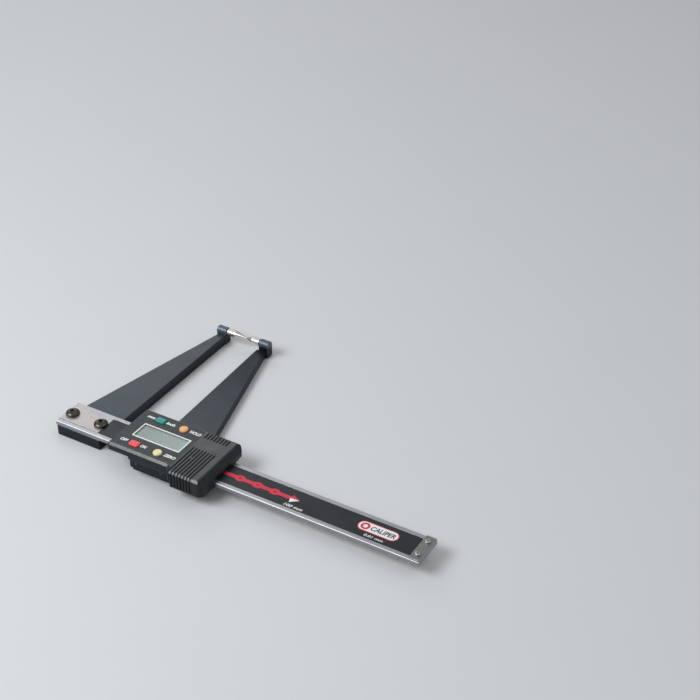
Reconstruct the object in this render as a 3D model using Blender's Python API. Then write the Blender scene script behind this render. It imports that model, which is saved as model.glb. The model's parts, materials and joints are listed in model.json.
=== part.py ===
"""Digital brake-disc caliper, modelled piece by piece in metres with +Z up.

Design coordinates: x runs along the beam from its left end, y runs across the beam
from its near edge towards the jaw tips, and z is zero on the ground top of the beam.
The root empty carries the whole model so that the origin lies under its middle.
"""
import math

import bmesh
import bpy
from mathutils import Matrix, Vector

# Driving dimensions
BEAM_LENGTH = 0.277
BEAM_WIDTH = 0.024
BEAM_THICKNESS = 0.0032
RAIL_WIDTH = 0.0032
GAP = 0.0003
CENTRE_Y = BEAM_WIDTH / 2

# Stainless beam and the strips in its channel
CHANNEL_DEPTH = 0.0003
STRIP_START = 0.033
STRIP_END = 0.2688
STRIP_POCKET_DEPTH = 0.0019
SCALE_THICKNESS = 0.0006
LABEL_THICKNESS = 0.0005

# Jaws: tapered plates below the beam whose tips carry raised bosses for the anvils
JAW_BOTTOM = -0.0115
FIXED_JAW_TOP = -BEAM_THICKNESS - GAP
MOVING_JAW_TOP = -0.0058
JAW_EDGE_BREAK = 0.0005
JAW_ROOT_Y = 0.033
FIXED_JAW_LEFT = 0.0004
FIXED_JAW_EDGES = {"inner": (0.0358, 0.0), "outer": (0.0051, 0.220)}
MOVING_JAW_EDGES = {"inner": (0.0669, -0.028), "outer": (0.1009, -0.264)}
FIXED_BOSS_FACE = 0.0367
TIP_Y = 0.1503
ANVIL_Z = -0.0018
BOSS_RADIUS = 0.0032
BOSS_LENGTH = 0.0082
BOSS_EDGE = 0.0004

# Anvils: a stem in the boss, a round shank outside it and a cone to the tip
STEM_RADIUS = 0.0018
STEM_LENGTH = 0.0064
ANVIL_EDGE = 0.0003
TIP_FLAT = 0.0003
TIP_GAP = 0.0003
FIXED_ANVIL = {"radius": 0.0027, "shank": 0.0073, "cone": 0.0087}
MOVING_ANVIL = {"radius": 0.0028, "shank": 0.0065, "cone": 0.0049}
GRUB_RADIUS = 0.0012
GRUB_LENGTH = 0.0050
GRUB_SOCKET_RADIUS = 0.0007
GRUB_SOCKET_DEPTH = 0.0010

# Button-head screws that clamp the fixed jaw under the beam
JAW_SCREW_X = (0.0050, 0.0290)
JAW_SCREW_HEAD_RADIUS = 0.00475
JAW_SCREW_HEAD_HEIGHT = 0.0026
JAW_SCREW_RIM = 0.25
JAW_SCREW_RADIUS = 0.0025
JAW_SCREW_DEPTH = 0.0090
SOCKET_RADIUS = 0.00173
SOCKET_DEPTH = 0.0015

# Stop plate at the free end of the beam
STOP_LENGTH = 0.0073
STOP_THICKNESS = 0.0008
STOP_EDGE = 0.0002
STOP_SCREW_OFFSET = 0.0064
STOP_SCREW_HEAD_RADIUS = 0.0019
STOP_SCREW_HEAD_HEIGHT = 0.0011
STOP_SCREW_RADIUS = 0.0010
STOP_SCREW_DEPTH = 0.0026
CROSS_REACH = 0.0012
CROSS_HALF_WIDTH = 0.0002
CROSS_DEPTH = 0.0007
STOP_SCREW_HEAD = ((1.0, 0.0), (1.0, 0.4), (0.8, 0.8), (0.45, 1.0))  # shares of radius and height

# Slider frame: a channel round the beam with lips over its rails
FRAME_START = 0.0690
FRAME_END = 0.1260
FRAME_NEAR = -0.0092
FRAME_FAR = 0.0332
FRAME_TOP = 0.0010
FRAME_BOTTOM = -0.0055
LIP_REACH = 0.0022
GIB_THICKNESS = 0.0009
GIB_END_MARGIN = 0.0030
GIB_Z = -BEAM_THICKNESS / 2
GIB_HALF_HEIGHT = 0.0013
GIB_SCREW_X = (0.0735, 0.0935)
GIB_SCREW_RADIUS = 0.0010
GIB_SLOT_HALF_WIDTH = 0.0002
GIB_SLOT_DEPTH = 0.0005

# Foot of the moving jaw and the bolts through it
FOOT_END = 0.1240
FOOT_NEAR = -0.0045
FOOT_FAR = 0.0270
JAW_BOLT_RADIUS = 0.0020
JAW_BOLT_HEAD_RADIUS = 0.0036
JAW_BOLT_HEAD_HEIGHT = 0.0022
JAW_BOLT_REACH = 0.0012
JAW_BOLTS = ((0.0780, 0.0120), (0.0970, 0.0010), (0.0970, 0.0230), (0.1160, 0.0120))

# Plastic cover over the slider
COVER_START = 0.0515
COVER_END = 0.1298
COVER_NEAR = -0.0098
COVER_FAR = 0.0338
COVER_TOP = 0.0086
COVER_BOTTOM = 0.0032
COVER_SKIRT = FRAME_TOP + GAP
COVER_WALL = 0.0016
COVER_CEILING = COVER_TOP - COVER_WALL
COVER_CHAMFER = 0.0014
COVER_CORNER = 0.0020
END_CORNER = 0.0042
END_CORNER_STEPS = 6
HOLLOW_END = 0.1212
BEVEL_START = 0.1262
BEVEL_LOW = 0.0034
GRIP_START = 0.0995
GRIP_REACH = 0.0046
GRIP_BLEND = 0.0050
GRIP_BLEND_STEPS = 8
GRIP_BOTTOM = -0.0040
GROOVES = 8
GROOVE_START = 0.1042
GROOVE_PITCH = 0.00238
GROOVE_WIDTH = 0.0011
GROOVE_DEPTH = 0.0007
NEAR_GROOVE_END = 0.0155
FAR_GROOVE_START = 0.0256
COVER_SCREWS = ((0.0795, -0.0073), (0.1000, -0.0073), (0.1060, 0.0308), (0.1215, 0.0308))
COVER_SCREW_RADIUS = 0.0008
COVER_SCREW_HEAD_RADIUS = 0.0014
COVER_SCREW_HEAD_HEIGHT = 0.0009
COVER_SCREW_TOP = 0.0050
POST_RADIUS = 0.0019
CUT_REACH = 0.010

# Face plate, display window and buttons
PLATE_LOW = (0.0530, -0.0072)
PLATE_HIGH = (0.1015, 0.0312)
PLATE_CORNER = 0.0012
PLATE_THICKNESS = 0.0004
WINDOW_X = 0.0800
WINDOW_LENGTH = 0.0366
WINDOW_WIDTH = 0.0138
WINDOW_CORNER = 0.0004
LENS_RIM = 0.0014
LENS_RIM_THICKNESS = 0.0008
BUTTON_ROW_OFFSET = 0.0144
BUTTON_LEFT_X = 0.0690
BUTTON_RIGHT_X = 0.0874
BUTTON_TOP = 0.0099
BUTTON_ROUND = (0.0062, 0.0062, 0.0029)
BUTTON_OBLONG = (0.0076, 0.0050, 0.0012)
BUTTON_EDGE = 0.0006
BUTTON_TRAVEL = 0.0005
BUTTON_FLANGE = 0.0009
BUTTON_FLANGE_THICKNESS = 0.0010
BUTTON_STEM = (0.0024, 0.0024, 0.00108)
BUTTON_STEPS = 5

# Electronics under the cover
BOARD_LOW = (0.0545, -0.0050)
BOARD_HIGH = (0.1060, 0.0285)
BOARD_BOTTOM = FRAME_TOP + GAP
BOARD_TOP = BOARD_BOTTOM + 0.0010
SENSOR_LOW = (0.0720, 0.0030)
SENSOR_HIGH = (0.1040, 0.0210)
DOME_RADIUS = 0.0030
DOME_HEIGHT = 0.0005
DOME_SHAPE = ((1.0, 0.0), (0.8, 0.6), (0.4, 1.0))  # shares of radius and height
ZEBRA_WIDTH = 0.0022
ZEBRA_HEIGHT = 0.0015
GLASS_THICKNESS = 0.0018
GLASS_MARGIN = 0.0012
BATTERY_CENTRE = (0.1140, 0.0040)
BATTERY_RADIUS = 0.0058
BATTERY_HEIGHT = 0.0054
BATTERY_BOTTOM = 0.0016
BATTERY_CAP_RADIUS = 0.0046
BATTERY_CAP_HEIGHT = 0.0008
CONTACT_THICKNESS = 0.0002
CONTACT_HALF_WIDTH = 0.0020
CONTACT_FOOT = 0.0030
CONTACT_LIFT = 0.0002

# Battery door, which slides off towards the free end of the beam
DOOR_START = 0.1031
DOOR_NEAR = -0.0078
DOOR_FAR = 0.0159
DOOR_BOTTOM = COVER_CEILING + GAP / 2
DOOR_LOWEST = 0.0040

SLIDER_CENTRE = (FRAME_START + FRAME_END) / 2
NEAREST_Y = COVER_NEAR - GRIP_REACH
FARTHEST_Y = TIP_Y + BOSS_RADIUS
ROOT_LOCATION = Vector((-BEAM_LENGTH / 2, -(NEAREST_Y + FARTHEST_Y) / 2, -JAW_BOTTOM))

# Centre, outline (length, width, corner radius) and material of each button
BUTTONS = {
    "unit_button": (BUTTON_LEFT_X, CENTRE_Y + BUTTON_ROW_OFFSET, BUTTON_OBLONG, "teal_plastic"),
    "hold_button": (BUTTON_RIGHT_X, CENTRE_Y + BUTTON_ROW_OFFSET, BUTTON_ROUND, "orange_plastic"),
    "power_button": (BUTTON_LEFT_X, CENTRE_Y - BUTTON_ROW_OFFSET, BUTTON_OBLONG, "red_plastic"),
    "zero_button": (BUTTON_RIGHT_X, CENTRE_Y - BUTTON_ROW_OFFSET, BUTTON_ROUND, "yellow_plastic"),
}

# Colour, roughness and metallic value of each material
MATERIALS = {
    "satin_stainless": ((0.62, 0.60, 0.58), 0.32, 1.0),
    "ground_steel": ((0.78, 0.78, 0.79), 0.15, 1.0),
    "black_anodised": ((0.045, 0.055, 0.065), 0.38, 0.4),
    "black_oxide": ((0.05, 0.05, 0.05), 0.35, 0.8),
    "zinc_steel": ((0.55, 0.55, 0.54), 0.3, 1.0),
    "black_abs": ((0.03, 0.034, 0.037), 0.42, 0.0),
    "face_film": ((0.035, 0.04, 0.044), 0.3, 0.0),
    "label_film": ((0.028, 0.032, 0.036), 0.3, 0.0),
    "green_board": ((0.03, 0.16, 0.08), 0.5, 0.0),
    "brass": ((0.66, 0.48, 0.2), 0.3, 1.0),
    "clear_lens": ((0.6, 0.66, 0.64), 0.08, 0.0),
    "display_glass": ((0.28, 0.33, 0.31), 0.15, 0.0),
    "black_rubber": ((0.02, 0.02, 0.02), 0.8, 0.0),
    "cell_steel": ((0.7, 0.7, 0.7), 0.25, 1.0),
    "teal_plastic": ((0.02, 0.28, 0.25), 0.35, 0.0),
    "orange_plastic": ((0.92, 0.36, 0.12), 0.35, 0.0),
    "red_plastic": ((0.85, 0.08, 0.09), 0.35, 0.0),
    "yellow_plastic": ((0.9, 0.8, 0.35), 0.35, 0.0),
}

groups = {}


def clear_scene():
    for old in list(bpy.data.objects):
        bpy.data.objects.remove(old, do_unlink=True)


def material(name):
    found = bpy.data.materials.get(name)
    if found:
        return found
    colour, roughness, metallic = MATERIALS[name]
    made = bpy.data.materials.new(name)
    made.use_nodes = True
    shader = made.node_tree.nodes["Principled BSDF"]
    shader.inputs["Base Color"].default_value = (*colour, 1.0)
    shader.inputs["Roughness"].default_value = roughness
    shader.inputs["Metallic"].default_value = metallic
    return made


def add_group(name, origin, parent=None):
    """An empty on a body's joint axis; origin is in design coordinates."""
    empty = bpy.data.objects.new("axis_" + name, None)
    bpy.context.collection.objects.link(empty)
    start = groups[parent][1] if parent else Vector((0, 0, 0))
    empty.location = ROOT_LOCATION if parent is None else Vector(origin) - start
    empty.parent = groups[parent][0] if parent else None
    groups[name] = (empty, Vector(origin))


def add_object(name, bm, group, material_name=None, smooth_angle=None):
    """Turn a bmesh in design coordinates into an object of the given group."""
    empty, origin = groups[group]
    bmesh.ops.translate(bm, verts=bm.verts, vec=-origin)
    bmesh.ops.recalc_face_normals(bm, faces=bm.faces)
    mesh = bpy.data.meshes.new(name)
    bm.to_mesh(mesh)
    bm.free()
    if smooth_angle:
        mesh.shade_smooth()
        mesh.set_sharp_from_angle(angle=math.radians(smooth_angle))
    made = bpy.data.objects.new(name, mesh)
    bpy.context.collection.objects.link(made)
    made.parent = empty
    if material_name:
        mesh.materials.append(material(material_name))
    return made


def prism_mesh(outline, low, high):
    """A straight-sided solid between two heights, from an outline in x and y."""
    bm = bmesh.new()
    bottom = bm.faces.new([bm.verts.new((x, y, low)) for x, y in outline])
    extruded = bmesh.ops.extrude_face_region(bm, geom=[bottom])
    raised = [item for item in extruded["geom"] if isinstance(item, bmesh.types.BMVert)]
    bmesh.ops.translate(bm, verts=raised, vec=(0, 0, high - low))
    return bm


def box_mesh(low, high):
    corners = [(low[0], low[1]), (high[0], low[1]), (high[0], high[1]), (low[0], high[1])]
    return prism_mesh(corners, low[2], high[2])


def turned_mesh(profile, centre, axis="Z", segments=24):
    """A turned solid from (radius, distance) pairs along the axis through centre."""
    bm = bmesh.new()
    rings = []
    for radius, along in profile:
        if radius == 0:
            rings.append([bm.verts.new((0, 0, along))])
            continue
        angles = [2 * math.pi * step / segments for step in range(segments)]
        rings.append([bm.verts.new((radius * math.cos(a), radius * math.sin(a), along)) for a in angles])
    for lower, upper in zip(rings, rings[1:]):
        for step in range(segments):
            follow = (step + 1) % segments
            if len(lower) == 1:
                bm.faces.new((lower[0], upper[step], upper[follow]))
            elif len(upper) == 1:
                bm.faces.new((lower[step], lower[follow], upper[0]))
            else:
                bm.faces.new((lower[step], lower[follow], upper[follow], upper[step]))
    for ring in (rings[0], rings[-1]):
        if len(ring) > 1:
            bm.faces.new(ring)
    turn = {"Z": Matrix.Identity(4), "X": Matrix.Rotation(math.pi / 2, 4, "Y"),
            "Y": Matrix.Rotation(-math.pi / 2, 4, "X")}[axis]
    bmesh.ops.transform(bm, matrix=Matrix.Translation(Vector(centre)) @ turn, verts=bm.verts)
    return bm


def cylinder_mesh(radius, ends, centre, axis="Z", segments=24):
    return turned_mesh([(radius, ends[0]), (radius, ends[1])], centre, axis, segments)


def rounded_outline(low, high, radius, steps=4):
    """A rectangle in x and y whose corners are arcs."""
    points = []
    left, right = low[0] + radius, high[0] - radius
    near, far = low[1] + radius, high[1] - radius
    for x, y, start in ((right, far, 0), (left, far, 90), (left, near, 180), (right, near, 270)):
        for step in range(steps + 1):
            angle = math.radians(start + 90 * step / steps)
            points.append((x + radius * math.cos(angle), y + radius * math.sin(angle)))
    return points


def centred_outline(centre, size, grow=0.0, steps=4):
    """A rounded rectangle round a centre; size is (length, width, corner radius)."""
    half_length, half_width = size[0] / 2 + grow, size[1] / 2 + grow
    low = (centre[0] - half_length, centre[1] - half_width)
    high = (centre[0] + half_length, centre[1] + half_width)
    return rounded_outline(low, high, size[2] + grow, steps)


def section_mesh(section, start, end, axis):
    """A section drawn in (y, z) for axis X or in (x, z) for axis Y, drawn out along that axis."""
    bm = bmesh.new()
    if axis == "X":
        rings = [[bm.verts.new((place, side, z)) for side, z in section] for place in (start, end)]
    else:
        rings = [[bm.verts.new((side, place, z)) for side, z in section] for place in (start, end)]
    for step in range(len(section)):
        follow = (step + 1) % len(section)
        bm.faces.new((rings[0][step], rings[0][follow], rings[1][follow], rings[1][step]))
    bm.faces.new(rings[0])
    bm.faces.new(rings[1])
    bmesh.ops.recalc_face_normals(bm, faces=bm.faces)
    return bm


def stack_mesh(layers):
    """A solid through (outline, height) layers whose outlines have equally many points."""
    bm = bmesh.new()
    rings = [[bm.verts.new((x, y, height)) for x, y in outline] for outline, height in layers]
    for lower, upper in zip(rings, rings[1:]):
        for step in range(len(lower)):
            follow = (step + 1) % len(lower)
            bm.faces.new((lower[step], lower[follow], upper[follow], upper[step]))
    bm.faces.new(rings[0])
    bm.faces.new(rings[-1])
    return bm


def bevel(target, width, segments=1, angle=40):
    modifier = target.modifiers.new("edge_break", "BEVEL")
    modifier.width = width
    modifier.segments = segments
    modifier.limit_method = "ANGLE"
    modifier.angle_limit = math.radians(angle)


def combine(target, tool_mesh, group, operation="DIFFERENCE"):
    """Cut a guide solid from the target, or join it on."""
    guide = add_object("guide_" + target.name, tool_mesh, group)
    guide.hide_render = True
    guide.display_type = "WIRE"
    modifier = target.modifiers.new("shape", "BOOLEAN")
    modifier.operation = operation
    modifier.solver = "EXACT"
    modifier.object = guide


def add_beam():
    low = (0, 0, -BEAM_THICKNESS)
    beam = add_object("beam", box_mesh(low, (BEAM_LENGTH, BEAM_WIDTH, 0)), "beam", "satin_stainless")
    bevel(beam, 0.0003)
    channel = box_mesh((-GAP, RAIL_WIDTH, -CHANNEL_DEPTH), (STRIP_START, BEAM_WIDTH - RAIL_WIDTH, GAP))
    pocket = box_mesh((STRIP_START - GAP, RAIL_WIDTH, -STRIP_POCKET_DEPTH),
                      (STRIP_END + GAP, BEAM_WIDTH - RAIL_WIDTH, GAP))
    combine(beam, channel, "beam")
    combine(beam, pocket, "beam")
    through = (-BEAM_THICKNESS - GAP, GAP)
    for x in JAW_SCREW_X:
        hole = cylinder_mesh(JAW_SCREW_RADIUS + GAP, through, (x, CENTRE_Y, 0), "Z", 20)
        combine(beam, hole, "beam")
    for y in stop_screw_places():
        centre = (BEAM_LENGTH - STOP_LENGTH / 2, y, 0)
        combine(beam, cylinder_mesh(STOP_SCREW_RADIUS + GAP, through, centre, "Z", 12), "beam")


def add_strips():
    near, far = RAIL_WIDTH + GAP, BEAM_WIDTH - RAIL_WIDTH - GAP
    scale_low = -STRIP_POCKET_DEPTH + GAP
    scale_high = scale_low + SCALE_THICKNESS
    label_high = -GAP / 3
    label_low = label_high - LABEL_THICKNESS
    scale = box_mesh((STRIP_START, near, scale_low), (STRIP_END, far, scale_high))
    label = box_mesh((STRIP_START, near, label_low), (STRIP_END, far, label_high))
    add_object("scale_strip", scale, "beam", "green_board")
    add_object("label_strip", label, "beam", "label_film")


def jaw_outline(edges, boss_face, direction, root_points):
    """A tapered jaw seen from above: direction is +1 left of the measuring gap and -1 right of it."""
    near, far = TIP_Y - BOSS_RADIUS, TIP_Y + BOSS_RADIUS
    ends = {}
    for side, (root_x, slope) in edges.items():
        ends[side] = (root_x, root_x + slope * (near - JAW_ROOT_Y))
    face = boss_face - direction * BOSS_EDGE
    back = boss_face - direction * (BOSS_LENGTH - BOSS_EDGE)
    inner, outer = ends["inner"], ends["outer"]
    return [*root_points, (inner[0], JAW_ROOT_Y), (inner[1], near), (face, near), (face, far),
            (back, far), (back, near), (outer[1], near), (outer[0], JAW_ROOT_Y)]


def add_boss(jaw, group, boss_face, direction):
    """A pillow block with a round top at the jaw's tip, bored for the anvil and its set screw."""
    start, end = sorted((boss_face - direction * BOSS_LENGTH, boss_face))
    block_low = (start + 2 * BOSS_EDGE, TIP_Y - BOSS_RADIUS + BOSS_EDGE, JAW_BOTTOM + 2 * JAW_EDGE_BREAK)
    block_high = (end - 2 * BOSS_EDGE, TIP_Y + BOSS_RADIUS - BOSS_EDGE, ANVIL_Z)
    block = box_mesh(block_low, block_high)
    combine(jaw, block, group, "UNION")
    barrel = [(BOSS_RADIUS - BOSS_EDGE, start), (BOSS_RADIUS, start + BOSS_EDGE),
              (BOSS_RADIUS, end - BOSS_EDGE), (BOSS_RADIUS - BOSS_EDGE, end)]
    centre = (0, TIP_Y, ANVIL_Z)
    combine(jaw, turned_mesh(barrel, centre, "X", 48), group, "UNION")
    bore = sorted((boss_face - direction * (STEM_LENGTH + GAP), boss_face + direction * GAP))
    combine(jaw, cylinder_mesh(STEM_RADIUS + GAP, bore, centre, "X", 16), group)
    grub_centre = (boss_face - direction * BOSS_LENGTH / 2, TIP_Y, 0)
    combine(jaw, cylinder_mesh(GRUB_RADIUS + GAP, (JAW_BOTTOM - GAP, ANVIL_Z), grub_centre, "Z", 12), group)


def add_grub_screw(name, group, boss_face, direction):
    """The set screw that bears on the anvil's stem from below."""
    high = ANVIL_Z - STEM_RADIUS - GAP
    low = high - GRUB_LENGTH
    centre = (boss_face - direction * BOSS_LENGTH / 2, TIP_Y, 0)
    profile = [(GRUB_RADIUS, low), (GRUB_RADIUS, high - ANVIL_EDGE), (GRUB_RADIUS - ANVIL_EDGE, high)]
    screw = add_object(name, turned_mesh(profile, centre, "Z", 12), group, "black_oxide", 40)
    socket = (low - GAP, low + GRUB_SOCKET_DEPTH)
    combine(screw, cylinder_mesh(GRUB_SOCKET_RADIUS, socket, centre, "Z", 6), group)


def add_anvil(name, group, boss_face, direction, size):
    face = boss_face + direction * GAP
    shank_end = face + direction * size["shank"]
    radius = size["radius"]
    profile = [(STEM_RADIUS, boss_face - direction * STEM_LENGTH), (STEM_RADIUS, face),
               (radius - ANVIL_EDGE, face), (radius, face + direction * ANVIL_EDGE),
               (radius, shank_end), (TIP_FLAT, shank_end + direction * size["cone"])]
    anvil = turned_mesh(profile, (0, TIP_Y, ANVIL_Z), "X", 48)
    add_object(name, anvil, group, "ground_steel", 30)
    return shank_end + direction * size["cone"]


def add_fixed_jaw():
    """The jaw clamped under the bare end of the beam; returns the x of its anvil's tip."""
    inner = FIXED_JAW_EDGES["inner"][0]
    outer_x, outer_slope = FIXED_JAW_EDGES["outer"]
    flank_end = JAW_ROOT_Y - (outer_x - FIXED_JAW_LEFT) / outer_slope
    root = [(FIXED_JAW_LEFT, flank_end), (FIXED_JAW_LEFT, FIXED_JAW_LEFT), (inner, FIXED_JAW_LEFT)]
    outline = jaw_outline(FIXED_JAW_EDGES, FIXED_BOSS_FACE, 1, root)
    solid = prism_mesh(outline, JAW_BOTTOM, FIXED_JAW_TOP)
    jaw = add_object("fixed_jaw", solid, "beam", "black_anodised", 30)
    bevel(jaw, JAW_EDGE_BREAK)
    add_boss(jaw, "beam", FIXED_BOSS_FACE, 1)
    for x in JAW_SCREW_X:
        ends = (-JAW_SCREW_DEPTH - GAP, 0)
        combine(jaw, cylinder_mesh(JAW_SCREW_RADIUS + GAP, ends, (x, CENTRE_Y, 0), "Z", 20), "beam")
    add_grub_screw("fixed_anvil_setscrew", "beam", FIXED_BOSS_FACE, 1)
    return add_anvil("fixed_anvil", "beam", FIXED_BOSS_FACE, 1, FIXED_ANVIL)


def add_moving_jaw(fixed_tip):
    """The jaw bolted under the slider frame, with its anvil facing the fixed one."""
    boss_face = fixed_tip + TIP_GAP + MOVING_ANVIL["cone"] + MOVING_ANVIL["shank"] + GAP
    foot = [(FOOT_END, FOOT_FAR), (FOOT_END, FOOT_NEAR), (MOVING_JAW_EDGES["inner"][0], FOOT_NEAR)]
    outline = jaw_outline(MOVING_JAW_EDGES, boss_face, -1, foot)
    solid = prism_mesh(outline, JAW_BOTTOM, MOVING_JAW_TOP)
    jaw = add_object("moving_jaw", solid, "slider", "black_anodised", 30)
    bevel(jaw, JAW_EDGE_BREAK)
    add_boss(jaw, "slider", boss_face, -1)
    for x, y in JAW_BOLTS:
        hole = [(JAW_BOLT_HEAD_RADIUS + GAP, JAW_BOTTOM - GAP),
                (JAW_BOLT_HEAD_RADIUS + GAP, JAW_BOTTOM + JAW_BOLT_HEAD_HEIGHT + 2 * GAP),
                (JAW_BOLT_RADIUS + GAP, JAW_BOTTOM + JAW_BOLT_HEAD_HEIGHT + 2 * GAP),
                (JAW_BOLT_RADIUS + GAP, MOVING_JAW_TOP + GAP)]
        combine(jaw, turned_mesh(hole, (x, y, 0), "Z", 18), "slider")
    add_grub_screw("moving_anvil_setscrew", "slider", boss_face, -1)
    add_anvil("moving_anvil", "slider", boss_face, -1, MOVING_ANVIL)


def add_jaw_bolts():
    for number, place in enumerate(JAW_BOLTS, 1):
        low = JAW_BOTTOM + GAP
        head = low + JAW_BOLT_HEAD_HEIGHT
        high = FRAME_BOTTOM + JAW_BOLT_REACH
        profile = [(JAW_BOLT_HEAD_RADIUS - GAP, low), (JAW_BOLT_HEAD_RADIUS, low + GAP),
                   (JAW_BOLT_HEAD_RADIUS, head), (JAW_BOLT_RADIUS, head), (JAW_BOLT_RADIUS, high)]
        solid = turned_mesh(profile, (*place, 0), "Z", 18)
        bolt = add_object("jaw_bolt_%d" % number, solid, "slider", "black_oxide", 40)
        socket = cylinder_mesh(SOCKET_RADIUS, (low - GAP, low + SOCKET_DEPTH), (*place, 0), "Z", 6)
        combine(bolt, socket, "slider")


def add_jaw_screws():
    """Button-head screws through the beam into the fixed jaw."""
    base = GAP - CHANNEL_DEPTH
    head = JAW_SCREW_HEAD_RADIUS
    height = JAW_SCREW_HEAD_HEIGHT
    angles = [math.radians(12 * step) for step in range(6)]
    shares = [JAW_SCREW_RIM + (1 - JAW_SCREW_RIM) * math.sin(a) for a in angles]
    dome = [(head * math.cos(a), base + height * share) for a, share in zip(angles, shares)]
    for number, x in enumerate(JAW_SCREW_X, 1):
        profile = [(JAW_SCREW_RADIUS, -JAW_SCREW_DEPTH), (JAW_SCREW_RADIUS, base), (head - GAP / 2, base),
                   *dome, (SOCKET_RADIUS + 2 * GAP, base + height)]
        solid = turned_mesh(profile, (x, CENTRE_Y, 0), "Z", 40)
        screw = add_object("jaw_screw_%d" % number, solid, "beam", "black_oxide", 30)
        ends = (base + height - SOCKET_DEPTH, base + height + GAP)
        combine(screw, cylinder_mesh(SOCKET_RADIUS, ends, (x, CENTRE_Y, 0), "Z", 6), "beam")


def add_stop_plate():
    """The plate that ends the slider's travel, with its two cross-recess screws."""
    start = BEAM_LENGTH - STOP_LENGTH
    solid = box_mesh((start, GAP, GAP), (BEAM_LENGTH, BEAM_WIDTH - GAP, GAP + STOP_THICKNESS))
    plate = add_object("stop_plate", solid, "beam", "zinc_steel")
    bevel(plate, STOP_EDGE)
    base = GAP + STOP_THICKNESS + GAP / 2
    height = STOP_SCREW_HEAD_HEIGHT
    head = STOP_SCREW_HEAD_RADIUS
    centre_x = start + STOP_LENGTH / 2
    for number, y in enumerate(stop_screw_places(), 1):
        ends = (0, base)
        combine(plate, cylinder_mesh(STOP_SCREW_RADIUS + GAP, ends, (centre_x, y, 0), "Z", 12), "beam")
        profile = [(STOP_SCREW_RADIUS, -STOP_SCREW_DEPTH), (STOP_SCREW_RADIUS, base)]
        profile += [(head * across, base + height * up) for across, up in STOP_SCREW_HEAD]
        solid = turned_mesh(profile, (centre_x, y, 0), "Z", 16)
        screw = add_object("stop_screw_%d" % number, solid, "beam", "zinc_steel", 30)
        arm, half = CROSS_REACH, CROSS_HALF_WIDTH
        floor = base + height - CROSS_DEPTH
        cross = [(arm, half), (half, half), (half, arm), (-half, arm), (-half, half), (-arm, half),
                 (-arm, -half), (-half, -half), (-half, -arm), (half, -arm), (half, -half), (arm, -half)]
        placed = [(centre_x + a, y + b) for a, b in cross]
        combine(screw, prism_mesh(placed, floor, base + height + GAP), "beam")


def stop_screw_places():
    return (CENTRE_Y - STOP_SCREW_OFFSET, CENTRE_Y + STOP_SCREW_OFFSET)


def add_slider_frame():
    """The metal channel that runs on the beam and carries the jaw, the board and the cover."""
    inner_near = -(GIB_THICKNESS + 2 * GAP)
    low = (FRAME_START, FRAME_NEAR, FRAME_BOTTOM)
    solid = box_mesh(low, (FRAME_END, FRAME_FAR, FRAME_TOP))
    frame = add_object("slider_frame", solid, "slider", "black_anodised", 30)
    bevel(frame, JAW_EDGE_BREAK)
    ends = (FRAME_START - GAP, FRAME_END + GAP)
    slot = box_mesh((ends[0], inner_near, FIXED_JAW_TOP), (ends[1], BEAM_WIDTH + GAP, GAP))
    combine(frame, slot, "slider")
    mouth = box_mesh((ends[0], LIP_REACH, 0), (ends[1], BEAM_WIDTH - LIP_REACH, FRAME_TOP + GAP))
    combine(frame, mouth, "slider")
    for x, y in JAW_BOLTS:
        reach = (FRAME_BOTTOM - GAP, FRAME_BOTTOM + JAW_BOLT_REACH + GAP)
        combine(frame, cylinder_mesh(JAW_BOLT_RADIUS + GAP, reach, (x, y, 0), "Z", 18), "slider")
    for x, y in COVER_SCREWS:
        shoulder = FRAME_BOTTOM + COVER_SCREW_HEAD_HEIGHT + 2 * GAP
        head, shank = COVER_SCREW_HEAD_RADIUS + GAP, COVER_SCREW_RADIUS + GAP
        hole = [(head, FRAME_BOTTOM - GAP), (head, shoulder), (shank, shoulder), (shank, FRAME_TOP + GAP)]
        combine(frame, turned_mesh(hole, (x, y, 0), "Z", 12), "slider")
    for x in GIB_SCREW_X:
        reach = (FRAME_NEAR - GAP, inner_near + GAP)
        combine(frame, cylinder_mesh(GIB_SCREW_RADIUS + GAP, reach, (x, 0, GIB_Z), "Y", 12), "slider")


def add_gib():
    """The brass strip that takes up play along the beam's near edge, and its two set screws."""
    near = -(GIB_THICKNESS + GAP)
    low = (FRAME_START + GIB_END_MARGIN, near, GIB_Z - GIB_HALF_HEIGHT)
    high = (FRAME_END - GIB_END_MARGIN, -GAP, GIB_Z + GIB_HALF_HEIGHT)
    add_object("gib_strip", box_mesh(low, high), "slider", "brass")
    for number, x in enumerate(GIB_SCREW_X, 1):
        start, end = FRAME_NEAR + GAP, near - GAP
        centre = (x, 0, GIB_Z)
        profile = [(GIB_SCREW_RADIUS, start), (GIB_SCREW_RADIUS, end - ANVIL_EDGE),
                   (GIB_SCREW_RADIUS - ANVIL_EDGE, end)]
        solid = turned_mesh(profile, centre, "Y", 12)
        screw = add_object("gib_screw_%d" % number, solid, "slider", "black_oxide", 40)
        slot = box_mesh((x - GIB_SCREW_RADIUS, start - GAP, GIB_Z - GIB_SLOT_HALF_WIDTH),
                        (x + GIB_SCREW_RADIUS, start + GIB_SLOT_DEPTH, GIB_Z + GIB_SLOT_HALF_WIDTH))
        combine(screw, slot, "slider")


def cover_outline():
    """The cover from above, with the thumb grip swelling from its near edge."""
    left = rounded_outline((COVER_START, COVER_NEAR), (COVER_END, COVER_FAR), COVER_CORNER)[5:15]
    grip = []
    for step in range(GRIP_BLEND_STEPS + 1):
        part = step / GRIP_BLEND_STEPS
        ease = part * part * (3 - 2 * part)
        grip.append((GRIP_START + part * GRIP_BLEND, COVER_NEAR - GRIP_REACH * ease))
    low = (COVER_START, COVER_NEAR - GRIP_REACH)
    ends = rounded_outline(low, (COVER_END, COVER_FAR), END_CORNER, END_CORNER_STEPS)
    corner = END_CORNER_STEPS + 1
    return ends[:corner] + left + grip + ends[3 * corner:]


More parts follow.
